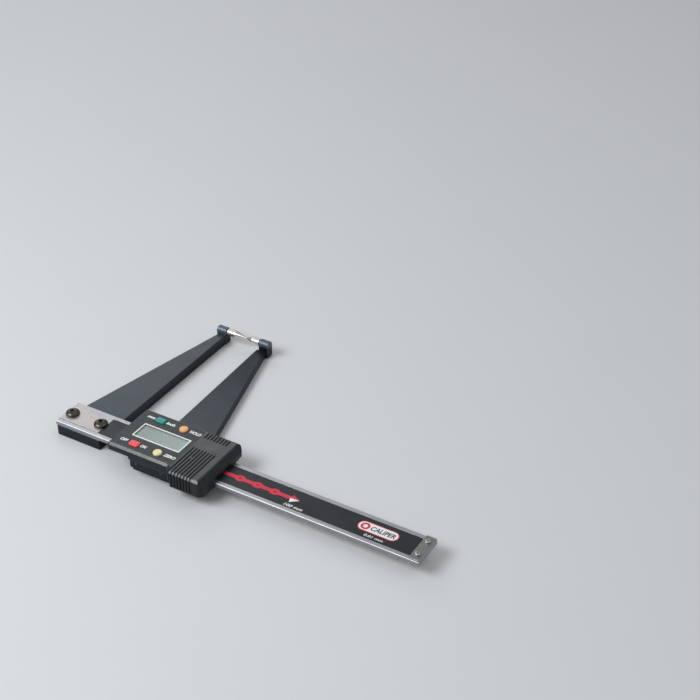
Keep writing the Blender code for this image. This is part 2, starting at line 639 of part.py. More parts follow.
def groove_places():
    """The x at the middle of each groove."""
    return [GROOVE_START + step * GROOVE_PITCH for step in range(GROOVES)]


def groove_mesh(x, top_end, side, bottom):
    """What a groove takes off: from top_end over the cover's chamfered edge and down its side."""
    out = math.copysign(1, side - top_end)
    floor = COVER_TOP - GROOVE_DEPTH
    turn = COVER_CHAMFER + GROOVE_DEPTH * (math.sqrt(2) - 1)
    section = [(top_end, floor), (side - out * turn, floor), (side - out * GROOVE_DEPTH, COVER_TOP - turn),
               (side - out * GROOVE_DEPTH, bottom), (side + out * GAP, bottom),
               (side + out * GAP, COVER_TOP + GAP), (top_end, COVER_TOP + GAP)]
    return section_mesh(section, x - GROOVE_WIDTH / 2, x + GROOVE_WIDTH / 2, "X")


def bevel_wedge():
    """What the sloping end of the cover takes off, as a solid along y."""
    run = CUT_REACH * (COVER_END - BEVEL_START) / (COVER_TOP - BEVEL_LOW)
    section = [(BEVEL_START - run, COVER_TOP + CUT_REACH), (BEVEL_START + run, COVER_TOP - CUT_REACH),
               (BEVEL_START + run, COVER_TOP + CUT_REACH)]
    return section_mesh(section, COVER_NEAR - GRIP_REACH - CUT_REACH, COVER_FAR + CUT_REACH, "Y")


def add_cover():
    """The plastic shell over the slider, open below and at the battery door."""
    solid = prism_mesh(cover_outline(), GRIP_BOTTOM, COVER_TOP)
    cover = add_object("front_cover", solid, "slider", "black_abs", 30)
    bevel(cover, COVER_CHAMFER, 2, 60)
    left, right = COVER_START - CUT_REACH, COVER_END + CUT_REACH
    near, far = COVER_NEAR - CUT_REACH, COVER_FAR + CUT_REACH
    deep = GRIP_BOTTOM - CUT_REACH
    grip_full = GRIP_START + GRIP_BLEND
    behind_skirt = FRAME_NEAR - GAP
    door_near, door_far = DOOR_NEAR - GAP, DOOR_FAR + GAP
    cuts = [
        ((left, near, deep), (FRAME_START - GAP, far, COVER_BOTTOM)),
        ((left, near, deep), (grip_full, far, COVER_SKIRT)),
        ((left, behind_skirt, deep), (FRAME_END + GAP, far, COVER_SKIRT)),
        ((left, -2 * GAP, deep), (right, far, 2 * GAP)),
        ((COVER_START + COVER_WALL, COVER_NEAR + COVER_WALL, deep),
         (HOLLOW_END, COVER_FAR - COVER_WALL, COVER_CEILING)),
        ((HOLLOW_END - GAP, FRAME_NEAR, deep), (FRAME_END + GAP, FRAME_FAR + GAP, COVER_SKIRT)),
        ((DOOR_START - GAP, door_near, COVER_CEILING - GAP), (right, door_far, COVER_TOP + GAP)),
        ((HOLLOW_END - GAP, door_near, DOOR_LOWEST - GAP), (right, door_far, COVER_TOP + GAP)),
    ]
    combine(cover, bevel_wedge(), "slider")
    for low, high in cuts:
        combine(cover, box_mesh(low, high), "slider")
    for x, y in COVER_SCREWS:
        post = cylinder_mesh(POST_RADIUS, (COVER_SKIRT, COVER_CEILING + GAP), (x, y, 0), "Z", 16)
        combine(cover, post, "slider", "UNION")
        hole = (COVER_SKIRT - GAP, COVER_SCREW_TOP + GAP)
        combine(cover, cylinder_mesh(COVER_SCREW_RADIUS + GAP, hole, (x, y, 0), "Z", 12), "slider")
    plate_floor = COVER_TOP - PLATE_THICKNESS - GAP
    recess_low = (PLATE_LOW[0] - GAP, PLATE_LOW[1] - GAP)
    recess_high = (PLATE_HIGH[0] + GAP, PLATE_HIGH[1] + GAP)
    recess = rounded_outline(recess_low, recess_high, PLATE_CORNER + GAP)
    combine(cover, prism_mesh(recess, plate_floor, COVER_TOP + GAP), "slider")
    opening = centred_outline((WINDOW_X, CENTRE_Y), (WINDOW_LENGTH, WINDOW_WIDTH, WINDOW_CORNER),
                              LENS_RIM + GAP, 1)
    combine(cover, prism_mesh(opening, COVER_CEILING - GAP, COVER_TOP), "slider")
    for x, y, size, _ in BUTTONS.values():
        hole = centred_outline((x, y), size, GAP)
        combine(cover, prism_mesh(hole, COVER_CEILING - GAP, COVER_TOP), "slider")
    grip_side = COVER_NEAR - GRIP_REACH
    for x in groove_places():
        combine(cover, groove_mesh(x, NEAR_GROOVE_END, grip_side, GRIP_BOTTOM + COVER_CHAMFER), "slider")
        combine(cover, groove_mesh(x, FAR_GROOVE_START, COVER_FAR, COVER_BOTTOM), "slider")


def add_cover_screws():
    for number, place in enumerate(COVER_SCREWS, 1):
        low = FRAME_BOTTOM + GAP
        head = low + COVER_SCREW_HEAD_HEIGHT
        profile = [(COVER_SCREW_HEAD_RADIUS, low), (COVER_SCREW_HEAD_RADIUS, head),
                   (COVER_SCREW_RADIUS, head), (COVER_SCREW_RADIUS, COVER_SCREW_TOP)]
        solid = turned_mesh(profile, (*place, 0), "Z", 12)
        add_object("cover_screw_%d" % number, solid, "slider", "zinc_steel", 40)


def add_face_plate():
    """The printed film plate let into the cover, open at the display and the buttons."""
    outline = rounded_outline(PLATE_LOW, PLATE_HIGH, PLATE_CORNER)
    solid = prism_mesh(outline, COVER_TOP - PLATE_THICKNESS, COVER_TOP)
    plate = add_object("face_plate", solid, "slider", "face_film")
    low, high = COVER_TOP - PLATE_THICKNESS - GAP, COVER_TOP + GAP
    window = centred_outline((WINDOW_X, CENTRE_Y), (WINDOW_LENGTH, WINDOW_WIDTH, WINDOW_CORNER), 0.0, 1)
    combine(plate, prism_mesh(window, low, high), "slider")
    for x, y, size, _ in BUTTONS.values():
        combine(plate, prism_mesh(centred_outline((x, y), size, GAP), low, high), "slider")


def add_display():
    """The clear window, the display cell below it and the two rubber connectors to the board."""
    centre = (WINDOW_X, CENTRE_Y)
    size = (WINDOW_LENGTH, WINDOW_WIDTH, WINDOW_CORNER)
    wide = centred_outline(centre, size, LENS_RIM, 1)
    narrow = centred_outline(centre, size, -GAP, 1)
    rim_top = COVER_TOP - PLATE_THICKNESS - GAP
    layers = [(wide, rim_top - LENS_RIM_THICKNESS), (wide, rim_top), (narrow, rim_top),
              (narrow, COVER_TOP - GAP / 3)]
    add_object("display_window", stack_mesh(layers), "slider", "clear_lens")
    zebra_bottom = BOARD_TOP + GAP
    glass_bottom = zebra_bottom + ZEBRA_HEIGHT + GAP
    glass_outline = centred_outline(centre, size, GLASS_MARGIN, 1)
    glass = prism_mesh(glass_outline, glass_bottom, glass_bottom + GLASS_THICKNESS)
    add_object("display_cell", glass, "slider", "display_glass")
    for side, name in ((-1, "near"), (1, "far")):
        y = CENTRE_Y + side * (WINDOW_WIDTH - ZEBRA_WIDTH) / 2
        low = (WINDOW_X - WINDOW_LENGTH / 2, y - ZEBRA_WIDTH / 2, zebra_bottom)
        high = (WINDOW_X + WINDOW_LENGTH / 2, y + ZEBRA_WIDTH / 2, zebra_bottom + ZEBRA_HEIGHT)
        add_object("display_connector_" + name, box_mesh(low, high), "slider", "black_rubber")


def add_board():
    """The circuit board, with the sensor plate below it just over the scale."""
    solid = box_mesh((*BOARD_LOW, BOARD_BOTTOM), (*BOARD_HIGH, BOARD_TOP))
    board = add_object("circuit_board", solid, "slider", "green_board")
    sensor = box_mesh((*SENSOR_LOW, GAP), (*SENSOR_HIGH, BOARD_BOTTOM + GAP))
    combine(board, sensor, "slider", "UNION")
    for name, (x, y, _, _) in BUTTONS.items():
        low = BOARD_TOP + GAP
        profile = [(DOME_RADIUS * across, low + DOME_HEIGHT * up) for across, up in DOME_SHAPE]
        dome = turned_mesh(profile, (x, y, 0), "Z", 20)
        add_object(name.replace("_button", "_dome"), dome, "slider", "cell_steel", 60)


def add_buttons():
    """Four caps on stems; the flange of each is held under the cover."""
    for name, (x, y, size, look) in BUTTONS.items():
        flange_top = COVER_CEILING - GAP
        flange_low = flange_top - BUTTON_FLANGE_THICKNESS
        stem_low = BOARD_TOP + 2 * GAP + DOME_HEIGHT + BUTTON_TRAVEL
        outlines = {
            "stem": centred_outline((x, y), BUTTON_STEM, 0.0, BUTTON_STEPS),
            "flange": centred_outline((x, y), size, BUTTON_FLANGE, BUTTON_STEPS),
            "cap": centred_outline((x, y), size, 0.0, BUTTON_STEPS),
            "shoulder": centred_outline((x, y), size, -BUTTON_EDGE / 3, BUTTON_STEPS),
            "crown": centred_outline((x, y), size, -BUTTON_EDGE, BUTTON_STEPS),
        }
        layers = [("stem", stem_low), ("stem", flange_low), ("flange", flange_low), ("flange", flange_top),
                  ("cap", flange_top), ("cap", BUTTON_TOP - BUTTON_EDGE),
                  ("shoulder", BUTTON_TOP - BUTTON_EDGE / 3), ("crown", BUTTON_TOP)]
        solid = stack_mesh([(outlines[kind], height) for kind, height in layers])
        add_object(name, solid, name, look, 50)


def add_battery():
    """The button cell and the two spring contacts that hold it."""
    x, y = BATTERY_CENTRE
    low = BATTERY_BOTTOM
    high = low + BATTERY_HEIGHT
    edge = ANVIL_EDGE
    profile = [(BATTERY_CAP_RADIUS, low), (BATTERY_CAP_RADIUS, low + BATTERY_CAP_HEIGHT),
               (BATTERY_RADIUS, low + BATTERY_CAP_HEIGHT), (BATTERY_RADIUS, high - edge),
               (BATTERY_RADIUS - edge, high)]
    add_object("battery", turned_mesh(profile, (x, y, 0), "Z", 32), "slider", "cell_steel", 30)
    start = BOARD_HIGH[0] + GAP
    minus_low = FRAME_TOP + CONTACT_LIFT
    minus = box_mesh((start, y - CONTACT_HALF_WIDTH, minus_low),
                     (x + CONTACT_HALF_WIDTH, y + CONTACT_HALF_WIDTH, minus_low + CONTACT_THICKNESS))
    add_object("battery_contact_minus", minus, "slider", "cell_steel")
    wall = x - BATTERY_RADIUS - GAP - CONTACT_THICKNESS
    foot_start = wall - CONTACT_FOOT
    foot_low = BOARD_TOP + GAP
    plus = box_mesh((foot_start, y - CONTACT_HALF_WIDTH, foot_low),
                    (wall + CONTACT_THICKNESS, y + CONTACT_HALF_WIDTH, foot_low + CONTACT_THICKNESS))
    contact = add_object("battery_contact_plus", plus, "slider", "cell_steel")
    blade = box_mesh((wall, y - CONTACT_HALF_WIDTH / 2, foot_low + CONTACT_THICKNESS / 2),
                     (wall + CONTACT_THICKNESS, y + CONTACT_HALF_WIDTH / 2, high - BATTERY_CAP_HEIGHT))
    combine(contact, blade, "slider", "UNION")


def add_door():
    """The battery door: a ribbed plate whose end follows the cover's slope."""
    slope = (COVER_END - BEVEL_START) / (COVER_TOP - BEVEL_LOW)
    low_x = BEVEL_START + slope * (COVER_TOP - DOOR_LOWEST)
    section = [(DOOR_START, DOOR_BOTTOM), (HOLLOW_END, DOOR_BOTTOM), (HOLLOW_END, DOOR_LOWEST),
               (low_x, DOOR_LOWEST), (BEVEL_START, COVER_TOP), (DOOR_START, COVER_TOP)]
    solid = section_mesh(section, DOOR_NEAR, DOOR_FAR, "Y")
    door = add_object("battery_door", solid, "battery_door", "black_abs")
    for x in groove_places():
        low = (x - GROOVE_WIDTH / 2, DOOR_NEAR - GAP, COVER_TOP - GROOVE_DEPTH)
        high = (x + GROOVE_WIDTH / 2, NEAR_GROOVE_END, COVER_TOP + GAP)
        combine(door, box_mesh(low, high), "battery_door")


def build():
    clear_scene()
    add_group("beam", (0, 0, 0))
    add_group("slider", (SLIDER_CENTRE, CENTRE_Y, 0), "beam")
    for name, (x, y, _, _) in BUTTONS.items():
        add_group(name, (x, y, BUTTON_TOP), "slider")
    add_group("battery_door", (DOOR_START, (DOOR_NEAR + DOOR_FAR) / 2, DOOR_BOTTOM), "slider")
    add_beam()
    add_strips()
    fixed_tip = add_fixed_jaw()
    add_jaw_screws()
    add_stop_plate()
    add_slider_frame()
    add_gib()
    add_moving_jaw(fixed_tip)
    add_jaw_bolts()
    add_cover()
    add_cover_screws()
    add_face_plate()
    add_display()
    add_board()
    add_buttons()
    add_battery()
    add_door()


build()
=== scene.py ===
import json
import math

import bmesh
import bpy
from mathutils import Matrix, Vector

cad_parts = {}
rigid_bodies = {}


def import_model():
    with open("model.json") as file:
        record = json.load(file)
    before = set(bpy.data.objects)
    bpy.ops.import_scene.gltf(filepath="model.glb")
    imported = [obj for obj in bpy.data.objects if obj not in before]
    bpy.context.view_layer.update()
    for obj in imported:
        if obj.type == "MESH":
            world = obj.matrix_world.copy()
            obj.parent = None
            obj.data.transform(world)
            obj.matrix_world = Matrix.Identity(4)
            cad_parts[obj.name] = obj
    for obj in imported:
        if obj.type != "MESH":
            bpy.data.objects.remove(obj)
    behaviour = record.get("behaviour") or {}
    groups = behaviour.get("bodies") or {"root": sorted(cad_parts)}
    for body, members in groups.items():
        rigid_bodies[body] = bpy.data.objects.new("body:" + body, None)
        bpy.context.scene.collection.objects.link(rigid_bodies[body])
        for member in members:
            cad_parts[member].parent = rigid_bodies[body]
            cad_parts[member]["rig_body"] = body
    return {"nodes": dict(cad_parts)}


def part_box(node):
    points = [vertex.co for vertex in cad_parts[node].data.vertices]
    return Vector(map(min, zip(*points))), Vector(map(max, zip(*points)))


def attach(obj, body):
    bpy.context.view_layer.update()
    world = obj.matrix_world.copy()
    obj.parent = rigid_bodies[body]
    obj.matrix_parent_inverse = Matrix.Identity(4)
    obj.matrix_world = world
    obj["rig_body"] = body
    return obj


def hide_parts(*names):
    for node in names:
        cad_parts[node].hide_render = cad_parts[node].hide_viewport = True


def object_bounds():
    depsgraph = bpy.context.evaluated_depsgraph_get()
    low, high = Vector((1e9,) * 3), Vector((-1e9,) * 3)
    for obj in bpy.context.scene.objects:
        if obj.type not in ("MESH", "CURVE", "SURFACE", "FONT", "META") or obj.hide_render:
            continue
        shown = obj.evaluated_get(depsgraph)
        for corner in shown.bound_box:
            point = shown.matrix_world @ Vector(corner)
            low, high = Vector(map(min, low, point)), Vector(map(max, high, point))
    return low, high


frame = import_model()
cad_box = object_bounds()

# Fine surfaces, prints and materials of a digital brake-disc caliper.
# Lengths are millimetres in the design's own coordinates: x along the beam from its left end, y across
# it from its near edge, and z up from its ground top. Meshes are scaled to metres as they become pieces.
# Outlines are lists of (x, y) points, and layers are pairs of an outline and its height.

MM = 0.001
ORIGIN = Vector((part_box("beam")[0].x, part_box("beam")[0].y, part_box("beam")[1].z))


def box_of(node):
    """Lowest and highest corner of a CAD node in design millimetres."""
    low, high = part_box(node)
    return (low - ORIGIN) / MM, (high - ORIGIN) / MM


BEAM_LOW, BEAM_HIGH = box_of("beam")
LABEL_LOW, LABEL_HIGH = box_of("label_strip")
COVER_LOW, COVER_HIGH = box_of("front_cover")
DOOR_LOW, DOOR_HIGH = box_of("battery_door")
FRAME_LOW, FRAME_HIGH = box_of("slider_frame")
PLATE_LOW, PLATE_HIGH = box_of("face_plate")
STOP_LOW, STOP_HIGH = box_of("stop_plate")
ANVIL_LOW, ANVIL_HIGH = box_of("fixed_anvil")
JAW_LOW, JAW_HIGH = box_of("fixed_jaw")
CENTRE_Y = (BEAM_LOW.y + BEAM_HIGH.y) / 2
# The anvils' axis runs along x at this y and z
JAW_TIP = (ANVIL_LOW.y + ANVIL_HIGH.y) / 2
ANVIL_Z = (ANVIL_LOW.z + ANVIL_HIGH.z) / 2
TOP = COVER_HIGH.z

# Edges that turn by more degrees than this are rounded
SHARP_ANGLE = 32
# Clearance round what passes a hole, and how far a cutting tool reaches past what it cuts
CLEAR = 0.3

# Cover: corner radii, rounded edges, the swelling of the thumb grip, the sloping end and the hollow
COVER_CORNER = 2.0
END_CORNER = 4.2
COVER_CHAMFER = 1.6
CHAMFER_ROUND = 0.5
GRIP_ROUND = 1.0
GRIP_REACH = 4.6
GRIP_START = 99.3
GRIP_BLEND = 5.4
COVER_BOTTOM = 3.2
COVER_WALL = 1.6
HOLLOW_END = 121.2
SLOPE_START = 126.2
SLOPE_LOW = 3.4
SLOPE_ROUND = 1.5
SEAM = 0.12
# Screw posts under the cover: the places of their axes, and their radius
POSTS = ((79.5, -7.3), (100.0, -7.3), (106.0, 30.8), (121.5, 30.8))
POST_RADIUS = 1.9

# Tips of the jaws: the anvil's thin stem in its boss, and the lug that carries the boss
STEM_LENGTH = 6.4
STEM_RADIUS = 1.8
SETSCREW_RADIUS = 1.5
BOSS_LENGTH = 8.2
BOSS_INSET = 0.04
LUG_INSET = 0.45
LUG_LIFT = 0.8
JAW_EDGE = 0.2
# Each anvil: which way it points along x, and the lengths of its shank and cone
ANVILS = {"fixed_anvil": (1, 7.3, 8.7), "moving_anvil": (-1, 6.5, 4.9)}

# Button-head screws of the fixed jaw: how each is turned, its shank and head, and the socket's section as
# (radius to the corners, height over the head's top)
JAW_SCREW_TURNS = {"jaw_screw_1": 12.0, "jaw_screw_2": 41.0}
SHANK_RADIUS = 2.5
HEAD_HEIGHT = 2.6
HEAD_RIM = 0.22
DOME_REACH = 72
SOCKET = ((1.15, -2.0), (1.73, -1.7), (1.73, -0.12), (2.1, 0.25))

# Stop plate's section as (inset, height), and its screws
STOP_CORNER = 0.9
STOP_EDGE = ((0.1, 0), (0, 0.1), (0, 0.5), (0.05, 0.68), (0.15, 0.77), (0.3, 0.8))
STOP_HOLE = 1.3
STOP_SHANK = 1.0
STOP_HEAD = 1.1
# Cross recess of a stop screw: reach of its arms, half their width, and depth
CROSS = (1.15, 0.24, 0.75)

# Ridges of the thumb grip: the grooves between them have rounded lips and roots
GROOVES = 8
GROOVE_START = 104.2
GROOVE_PITCH = 2.38
GROOVE_WIDTH = 0.95
GROOVE_DEPTH = 0.78
GROOVE_LIP = 0.34
GROOVE_ROOT = 0.30
GROOVE_FADE = 1.6
# Where the two rows fade in on the top, and how far over the cover's lower edges they fade out
NEAR_GROOVE_END = 15.5
FAR_GROOVE_START = 25.6
NEAR_GROOVE_LIFT = 1.2
FAR_GROOVE_LIFT = 0.6

# Battery door: how thick it is over the cell, and the middle of its raised arrow
DOOR_THICKNESS = 1.45
DOOR_ARROW = (110.3, 4.2)

# Face plate: window, buttons and prints. Sizes are (length, width, corner radius)
PLATE_CORNER = 1.2
WINDOW_X = 80.0
WINDOW_LENGTH = 36.6
WINDOW_HOLE = (40.0, 17.2, 1.0)
LINE_OUTER = (37.5, 14.8, 0.5)
LINE_TOP = (37.3, 14.6, 0.4)
LINE_INNER = (35.7, 12.9, 0.25)
LENS_FLANGE = (39.2, 16.4, 1.0)
LENS_SIDE = (35.6, 12.8, 0.3)
LENS_TOP = (35.4, 12.6, 0.3)
CELL = (38.6, 15.8, 0.4)
# Each button: x, distance from the middle of the cover, size and look
BUTTON_SHAPES = {
    "unit_button": (69.0, 14.4, (7.6, 5.0, 1.4), "teal_plastic"),
    "hold_button": (87.4, 14.4, (6.2, 6.2, 3.05), "orange_plastic"),
    "power_button": (69.0, -14.4, (7.6, 5.0, 1.4), "red_plastic"),
    "zero_button": (87.4, -14.4, (6.2, 6.2, 3.05), "yellow_plastic"),
}
BUTTON_STEM = (2.4, 2.4, 1.1)
BUTTON_COLLAR = 0.9
BUTTON_SHOULDER = 0.75
BUTTON_CROWN = 0.14
PRINT_THICKNESS = 0.03
CAPITAL_HEIGHT = 0.69


def paint(red, green, blue):
    """Linear colour of an 8-bit display colour."""
    shares = [value / 255 for value in (red, green, blue)]
    return tuple(((share + 0.055) / 1.055) ** 2.4 if share > 0.04045 else share / 12.92 for share in shares)


class Look:
    """A material whose colour, roughness and relief come from patterns in the object's own coordinates."""

    def __init__(self, name, tone, roughness, metallic=0.0, specular=0.5):
        self.name = name
        self.made = bpy.data.materials.new(name)
        self.made.use_nodes = True
        self.nodes = self.made.node_tree.nodes
        self.links = self.made.node_tree.links
        self.shader = self.nodes["Principled BSDF"]
        self.shader.inputs["Metallic"].default_value = metallic
        shine = self.nodes.new("ShaderNodeValue")
        shine.outputs[0].default_value = specular
        self.shine = shine.outputs[0]
        where = self.nodes.new("ShaderNodeTexCoord")
        self.point = where.outputs["Object"]
        self.facing = where.outputs["Normal"]
        colour = self.nodes.new("ShaderNodeRGB")
        colour.outputs[0].default_value = (*tone, 1.0)
        self.tone = colour.outputs[0]
        value = self.nodes.new("ShaderNodeValue")
        value.outputs[0].default_value = roughness
        self.roughness = value.outputs[0]
        self.normal = None
        self.done()

    def join(self, value, socket):
        """Feed a socket from another one, or set it to a plain value."""
        if isinstance(value, bpy.types.NodeSocket):
            self.links.new(value, socket)
        else:
            socket.default_value = value

    def maths(self, operation, *values):
        node = self.nodes.new("ShaderNodeMath")
        node.operation = operation
        for value, socket in zip(values, node.inputs):
            self.join(value, socket)
        return node.outputs[0]

    def noise(self, size, stretch=(1, 1, 1), detail=2.0, offset=0.0):
        """A noise whose features are size millimetres across, drawn out by the stretch of each axis."""
        node = self.nodes.new("ShaderNodeVectorMath")
        node.operation = "MULTIPLY_ADD"
        self.join(self.point, node.inputs[0])
        node.inputs[1].default_value = [1 / (size * MM * share) for share in stretch]
        node.inputs[2].default_value = (offset, offset, offset)
        noise = self.nodes.new("ShaderNodeTexNoise")
        noise.inputs["Scale"].default_value = 1.0
        noise.inputs["Detail"].default_value = detail
        self.join(node.outputs[0], noise.inputs["Vector"])
        return noise.outputs[0]

    def cells(self, size):
        """The distance from the middles of cells that are size millimetres across."""
        node = self.nodes.new("ShaderNodeTexVoronoi")
        node.inputs["Scale"].default_value = 1 / (size * MM)
        self.join(self.point, node.inputs["Vector"])
        return node.outputs["Distance"]

    def ramp(self, value, low, high):
        """0 below low and 1 above high; low may be the greater."""
        node = self.nodes.new("ShaderNodeMapRange")
        self.join(value, node.inputs["Value"])
        node.inputs["From Min"].default_value = low
        node.inputs["From Max"].default_value = high
        return node.outputs["Result"]

    def axis(self, letter, of=None):
        """One coordinate of a vector, or of the place on the piece."""
        node = self.nodes.new("ShaderNodeSeparateXYZ")
        self.join(of or self.point, node.inputs[0])
        return node.outputs[letter]

    def along(self, letter, start, end):
        """0 at start and 1 at end along a design axis, in millimetres."""
        shift = ORIGIN["XYZ".index(letter)]
        return self.ramp(self.axis(letter), shift + start * MM, shift + end * MM)

    def level(self):
        """1 on faces that lie level and 0 on upright ones."""
        return self.ramp(self.maths("ABSOLUTE", self.axis("Z", self.facing)), 0.25, 0.75)

    def edges(self, width, breaks):
        """1 along edges as wide as width, broken up by a noise as worn edges are."""
        rounded = self.nodes.new("ShaderNodeBevel")
        rounded.samples = 4
        rounded.inputs["Radius"].default_value = width * MM
        flat = self.nodes.new("ShaderNodeNewGeometry")
        product = self.nodes.new("ShaderNodeVectorMath")
        product.operation = "DOT_PRODUCT"
        self.join(rounded.outputs[0], product.inputs[0])
        self.join(flat.outputs["Normal"], product.inputs[1])
        bare = self.ramp(product.outputs["Value"], 0.985, 0.90)
        patchy = self.ramp(self.noise(1.7, detail=3.0), 0.42, 0.62)
        kept = self.maths("MULTIPLY_ADD", patchy, breaks, 1 - breaks)
        return self.maths("MULTIPLY", bare, kept)

    def tint(self, mask, tone, share=1.0):
        """Mix towards another tone where the mask is 1."""
        node = self.nodes.new("ShaderNodeMix")
        node.data_type = "RGBA"
        self.join(self.maths("MULTIPLY", mask, share), node.inputs[0])
        self.join(self.tone, node.inputs[6])
        node.inputs[7].default_value = (*tone, 1.0)
        self.tone = node.outputs[2]
        self.done()

    def rougher(self, mask, amount):
        """Add to the roughness where the mask is 1, and take away with a negative amount."""
        added = self.maths("MULTIPLY_ADD", mask, amount, self.roughness)
        self.roughness = self.maths("MAXIMUM", added, 0.04)
        self.done()

    def shinier(self, mask, amount):
        """Add to the specular level where the mask is 1."""
        self.shine = self.maths("MULTIPLY_ADD", mask, amount, self.shine)
        self.done()

    def relief(self, height, depth):
        """Raise the surface by depth millimetres where the height is 1."""
        node = self.nodes.new("ShaderNodeBump")
        node.inputs["Strength"].default_value = 1.0
        node.inputs["Distance"].default_value = depth * MM
        self.join(height, node.inputs["Height"])
        if self.normal:
            self.join(self.normal, node.inputs["Normal"])
        self.normal = node.outputs[0]
        self.done()

    def done(self):
        """Feed the shader with the patterns as they now stand."""
        self.join(self.tone, self.shader.inputs["Base Color"])
        self.join(self.roughness, self.shader.inputs["Roughness"])
        self.join(self.shine, self.shader.inputs["Specular IOR Level"])
        if self.normal:
            self.join(self.normal, self.shader.inputs["Normal"])


def metal(name, tone, roughness, grain, lines, wear=None, metallic=1.0):
    """Ground or brushed metal: grain is the stretch of its lines along x, y and z."""
    look = Look(name, tone, roughness, metallic)
    scratches = look.noise(0.16, grain, 2.0)
    look.tint(look.ramp(look.noise(14, detail=3.0), 0.35, 0.75), tuple(0.86 * part for part in tone), 0.6)
    look.tint(look.ramp(scratches, 0.55, 0.75), tuple(0.78 * part for part in tone), 0.5)
    look.rougher(scratches, lines)
    look.rougher(look.ramp(look.noise(6, detail=4.0, offset=3.0), 0.45, 0.8), 0.08)
    look.relief(scratches, 0.0012)
    if wear:
        look.tint(look.edges(wear, 0.4), (0.82, 0.82, 0.81), 0.5)
    return look


def anodised(name, tip_shade, share):
    """Bead-blasted anodised aluminium with painted light: darker towards the jaw's tip and on upright faces
    as painted shade, lighter on the boss as a painted highlight.
    """
    look = Look(name, paint(84, 90, 94), 0.37, 0.85, 0.4)
    # Painted shade: the tone darkens towards the jaw's tip.
    look.tint(look.along("Y", 20, 140), tip_shade, share)
    # Painted shade: upright faces are darker.
    upright = look.maths("SUBTRACT", 1.0, look.level())
    look.tint(upright, paint(38, 45, 50))
    look.tint(look.ramp(look.noise(22, detail=5.0), 0.3, 0.8), paint(68, 74, 78), 0.2)
    look.rougher(look.ramp(look.noise(9, detail=4.0, offset=2.0), 0.35, 0.7), 0.04)
    # Painted highlight: the top of the boss's barrel is lighter and bluer.
    at_tip = look.along("Y", JAW_TIP - 4.5, JAW_TIP - 3.0)
    boss = look.maths("MULTIPLY", at_tip, look.along("Z", -3.6, -2.0))
    look.tint(boss, paint(110, 119, 128), 0.85)
    look.rougher(boss, 0.06)
    look.tint(look.edges(0.3, 0.55), paint(140, 148, 154), 0.55)
    look.relief(look.noise(0.16, detail=2.0), 0.003)
    return look


def plastic(name, tone, roughness, grain=0.22, depth=0.006, specular=0.4, wear=0.25):
    """Moulded plastic with a fine spark-eroded grain, handling marks and slightly polished edges."""
    look = Look(name, tone, roughness, specular=specular)
    lighter = tuple(min(1.0, 1.35 * part + 0.006) for part in tone)
    look.tint(look.ramp(look.noise(11, detail=4.0), 0.4, 0.75), lighter, 0.45)
    look.rougher(look.ramp(look.noise(7, detail=4.0, offset=5.0), 0.4, 0.7), 0.08)
    if wear:
        edge = look.edges(wear, 0.5)
        look.tint(edge, tuple(min(1.0, 2.0 * part + 0.012) for part in tone), 0.6)
        look.rougher(edge, -0.12)
    look.relief(look.noise(grain, detail=2.0), depth)
    return look


